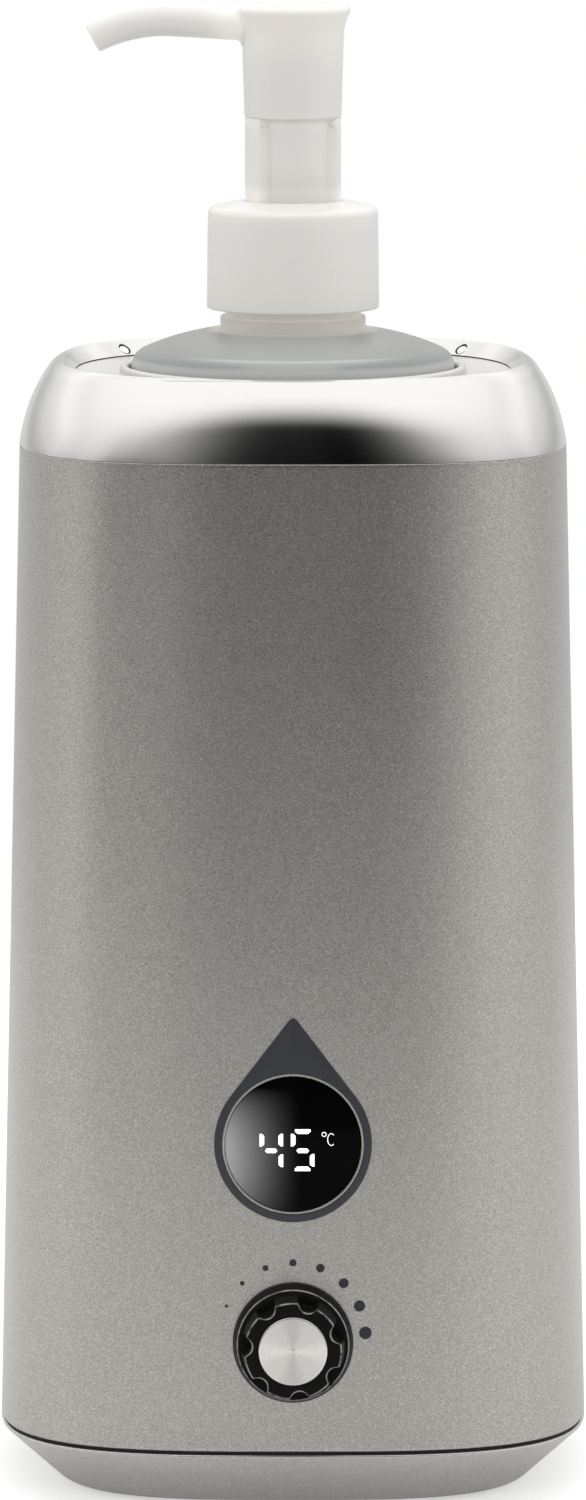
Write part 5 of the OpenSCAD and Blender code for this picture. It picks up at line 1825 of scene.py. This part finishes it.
    def head(self) -> None:
        """Head with a hollow skirt, a socket, a flared rim and a spout."""
        low, top, foot, soft = self.head_z, self.head_z + self.head_h, self.head_foot, self.rim_soft
        flare_z, rim_z = top - self.flare_h, top - soft
        stem_z, socket_z, cavity_z = top - self.stem_top, low + self.socket_z, low + self.cavity_h
        profile = [(0.0, stem_z), (self.stem_r, stem_z), (self.stem_r, socket_z)]
        profile += [(self.socket_r, socket_z), (self.socket_r, cavity_z)]
        profile += [(self.cavity_r, cavity_z), (self.cavity_r, low)]
        profile += arc(self.head_foot_r - foot, low + foot, foot, -90, 0, 5)
        for i in range(self.flare_steps + 1):
            share = i / self.flare_steps
            r = self.head_r + (self.rim_r - self.head_r) * share**self.flare_power
            profile.append((r, flare_z + (rim_z - flare_z) * share))
        profile += arc(self.rim_r - soft, rim_z, soft, self.rim_turn, 90, 8)
        profile += [(self.rim_r + x, top + z) for x, z in self.dish]
        profile += [(0.0, top - self.dish_depth)]
        parts = [lathe("head_shell", profile), skin("spout_tube", self.spout_rings(), loop=True)]
        # the head's white gets a painted glow at the spout's root
        finish = replace(FINISHES["pump_white"], name="head_white", painted_glows=(self.spout_painted_glow,))
        piece = joined("pump_head_body", parts)
        settle(piece, Body.HEAD, "pump_white", ["pump_head"], finish=finish, sharp=50)

    def build(self) -> None:
        """Makes the three pieces."""
        for make in (self.closure, self.sleeve, self.head):
            make()


class Kept:
    """The nodes that keep their own shape and only get a finish."""

    def build(self) -> None:
        """Dresses every node that nothing stands for."""
        slots = {row["node"]: row["material_slot"] for row in frame["record"]["subparts"]}
        for name, node in frame["nodes"].items():
            if node.hide_render:
                continue
            node.data.materials.clear()
            node.data.materials.append(FINISHES[slots[name]].make())
            LOG.info("%s keeps its shape", name)


@dataclass
class Studio:
    """Camera, floor and soft light with a dark side behind the camera.

    Places are in metres, the camera's pitch in radians, other angles in degrees, and lens and film in
    millimetres. The panels give the light's share by the angle from the front, and the pairs ending
    in z or top are heights of a direction between which a light sets in or fades.
    """

    distance: float = 2.0
    camera_z: float = 0.399
    pitch: float = 0.132
    lens: float = 261.24
    film: float = 36.0
    view_end: float = 200.0
    floor_half: float = 0.75
    floor_tone: float = 0.62
    floor_grain: float = 30.0
    floor_mottle: float = 0.01
    floor_lift: float = 0.5
    floor_shine: float = 0.15
    below: float = 0.85
    horizon: float = 0.7
    zenith: float = 1.28
    ground_z: Pair = (-0.03, 0.05)
    sky_z: Pair = (0.15, 0.75)
    dark_half: float = 33.0
    dark_turn: float = 3.0
    dark_z: Pair = (-0.32, -0.16)
    dark_top: Pair = (0.6, 0.88)
    panels: tuple[Pair, ...] = (
        (-180.0, 0.66), (-125.0, 0.58), (-80.0, 0.76), (-68.0, 0.72), (-54.0, 0.36),
        (-36.0, 0.38), (-20.0, 0.8), (-10.0, 1.0), (3.0, 0.7), (20.0, 0.58),
        (40.0, 0.7), (55.0, 0.84), (78.0, 0.82), (125.0, 0.58), (180.0, 0.66),
    )
    panel_plain: float = 0.75
    panel_top: Pair = (0.2, 0.75)
    wing_turn: Pair = (88.0, 124.0)
    wing_z: Pair = (0.05, 0.25)
    wing_top: Pair = (0.4, 0.65)
    wing_gain: float = 0.5
    fill_power: float = 10.0
    fill_place: Point = (0.0, -1.9, 1.1)
    fill_size: Pair = (1.2, 1.0)
    fill_aim: Point = (0.0, 0.0, 0.2)
    side_power: float = 3.4
    side_place: Point = (1.6, -0.5, 1.0)

    def camera(self) -> None:
        """Long lens that looks slightly down on the front."""
        data = bpy.data.cameras.new("photo_camera")
        data.sensor_fit = "VERTICAL"
        data.sensor_height = self.film
        data.lens = self.lens
        data.clip_end = self.view_end
        made = linked("photo_camera", data)
        made.location = (0, -self.distance, self.camera_z)
        made.rotation_euler = (math.pi / 2 - self.pitch, 0, 0)
        bpy.context.scene.camera = made

    @staticmethod
    def rays(graph: Graph) -> tuple[Wire, Wire]:
        """Whether the camera sees a place, also through clear pieces, and whether a mirror does.

        Args:
            graph: The graph of the floor or the world.

        Returns:
            Both answers, 0 or 1.
        """
        path = graph.node("ShaderNodeLightPath").outputs
        camera = Wire(graph, path["Is Camera Ray"]) + Wire(graph, path["Is Transmission Ray"])
        return camera, Wire(graph, path["Is Glossy Ray"])

    def floor(self) -> None:
        """Pale floor that reads white to the camera and keeps a soft shadow."""
        h = self.floor_half
        mesh = bpy.data.meshes.new("floor")
        mesh.from_pydata([(-h, -h, 0), (h, -h, 0), (h, h, 0), (-h, h, 0)], [], [(0, 1, 2, 3)])
        material = bpy.data.materials.new("pale_floor")
        material.use_nodes = True
        graph = Graph(material.node_tree)
        place = graph.wire("ShaderNodeTexCoord", out="Object")
        tone = graph.noise(place, self.floor_grain) * self.floor_mottle + self.floor_tone
        colour = graph.wire("ShaderNodeCombineColor", None, {0: tone, 1: tone, 2: tone})
        matt = graph.wire("ShaderNodeBsdfDiffuse", None, {"Color": colour})
        camera, mirror = self.rays(graph)
        lift = camera * self.floor_lift + mirror * self.floor_shine
        glow = graph.wire("ShaderNodeEmission", None, {"Color": WHITE, "Strength": lift})
        both = graph.wire("ShaderNodeAddShader", None, {0: matt, 1: glow})
        graph.node("ShaderNodeOutputMaterial", None, {"Surface": both})
        mesh.materials.append(material)
        linked("floor", mesh)

    def world(self) -> None:
        """Soft light all round, brightest overhead and dark behind the camera."""
        world = bpy.data.worlds.new("soft_studio")
        bpy.context.scene.world = world
        world.use_nodes = True
        graph = Graph(world.node_tree)
        x, y, z = graph.xyz(graph.wire("ShaderNodeTexCoord", out="Generated"))
        level = self.horizon + z.ramp(*self.sky_z) * (self.zenith - self.horizon)
        level = level + (1 - z.ramp(*self.ground_z)) * (self.below - self.horizon)
        angle = x.math("ARCTAN2", y * -1.0)
        turn, spread = angle - math.radians(self.dark_turn), math.radians(self.dark_half) ** 2
        dark = spread / (turn * turn + spread) * (z.ramp(*self.dark_z) * (1 - z.ramp(*self.dark_top)))
        stops = [(0.5 + degrees / 360, share) for degrees, share in self.panels]
        around = angle / (2 * math.pi) + 0.5
        panel = graph.wire("ShaderNodeValToRGB", {"stops": stops}, {0: around}) * (1 / self.panel_plain)
        panel = panel + z.ramp(*self.panel_top) * (1 - panel)
        wing = angle.math("ABSOLUTE").ramp(*(math.radians(a) for a in self.wing_turn))
        wing = wing * z.ramp(*self.wing_z) * (1 - z.ramp(*self.wing_top))
        light = level * (1 - dark) * panel * (1 + wing * self.wing_gain)
        camera, _ = self.rays(graph)
        sockets = {"Color": WHITE, "Strength": light + camera * (1 - light)}
        back = graph.wire("ShaderNodeBackground", None, sockets)
        graph.node("ShaderNodeOutputWorld", None, {"Surface": back})

    def lamp(self, name: str, place: Point, power: float) -> None:
        """Adds a soft rectangular lamp that no mirror shows.

        Args:
            name: Name of the lamp.
            place: Where it hangs.
            power: Its power, in watts.
        """
        data = bpy.data.lights.new(name, "AREA")
        data.shape = "RECTANGLE"
        data.size, data.size_y = self.fill_size
        data.energy = power
        made = linked(name, data)
        made.location = place
        made.rotation_euler = (Vector(self.fill_aim) - Vector(place)).to_track_quat("-Z", "Y").to_euler()
        made.visible_glossy = False

    def build(self) -> None:
        """Sets up camera, floor and light."""
        self.camera()
        self.floor()
        self.world()
        self.lamp("front_fill", self.fill_place, self.fill_power)
        x, y, z = self.side_place
        self.lamp("left_fill", (-x, y, z), self.side_power)
        self.lamp("right_fill", (x, y, z), self.side_power)
        bpy.context.scene.view_settings.view_transform = "Standard"


def main() -> None:
    """Builds the studio and every sub-assembly."""
    logging.basicConfig(level=logging.INFO, format="%(name)s: %(message)s")
    housing = Housing()
    for assembly in (Studio(), housing, Display(housing), Dial(housing), Bottle(), Pump(), Kept()):
        assembly.build()


if __name__ == "__main__":
    main()
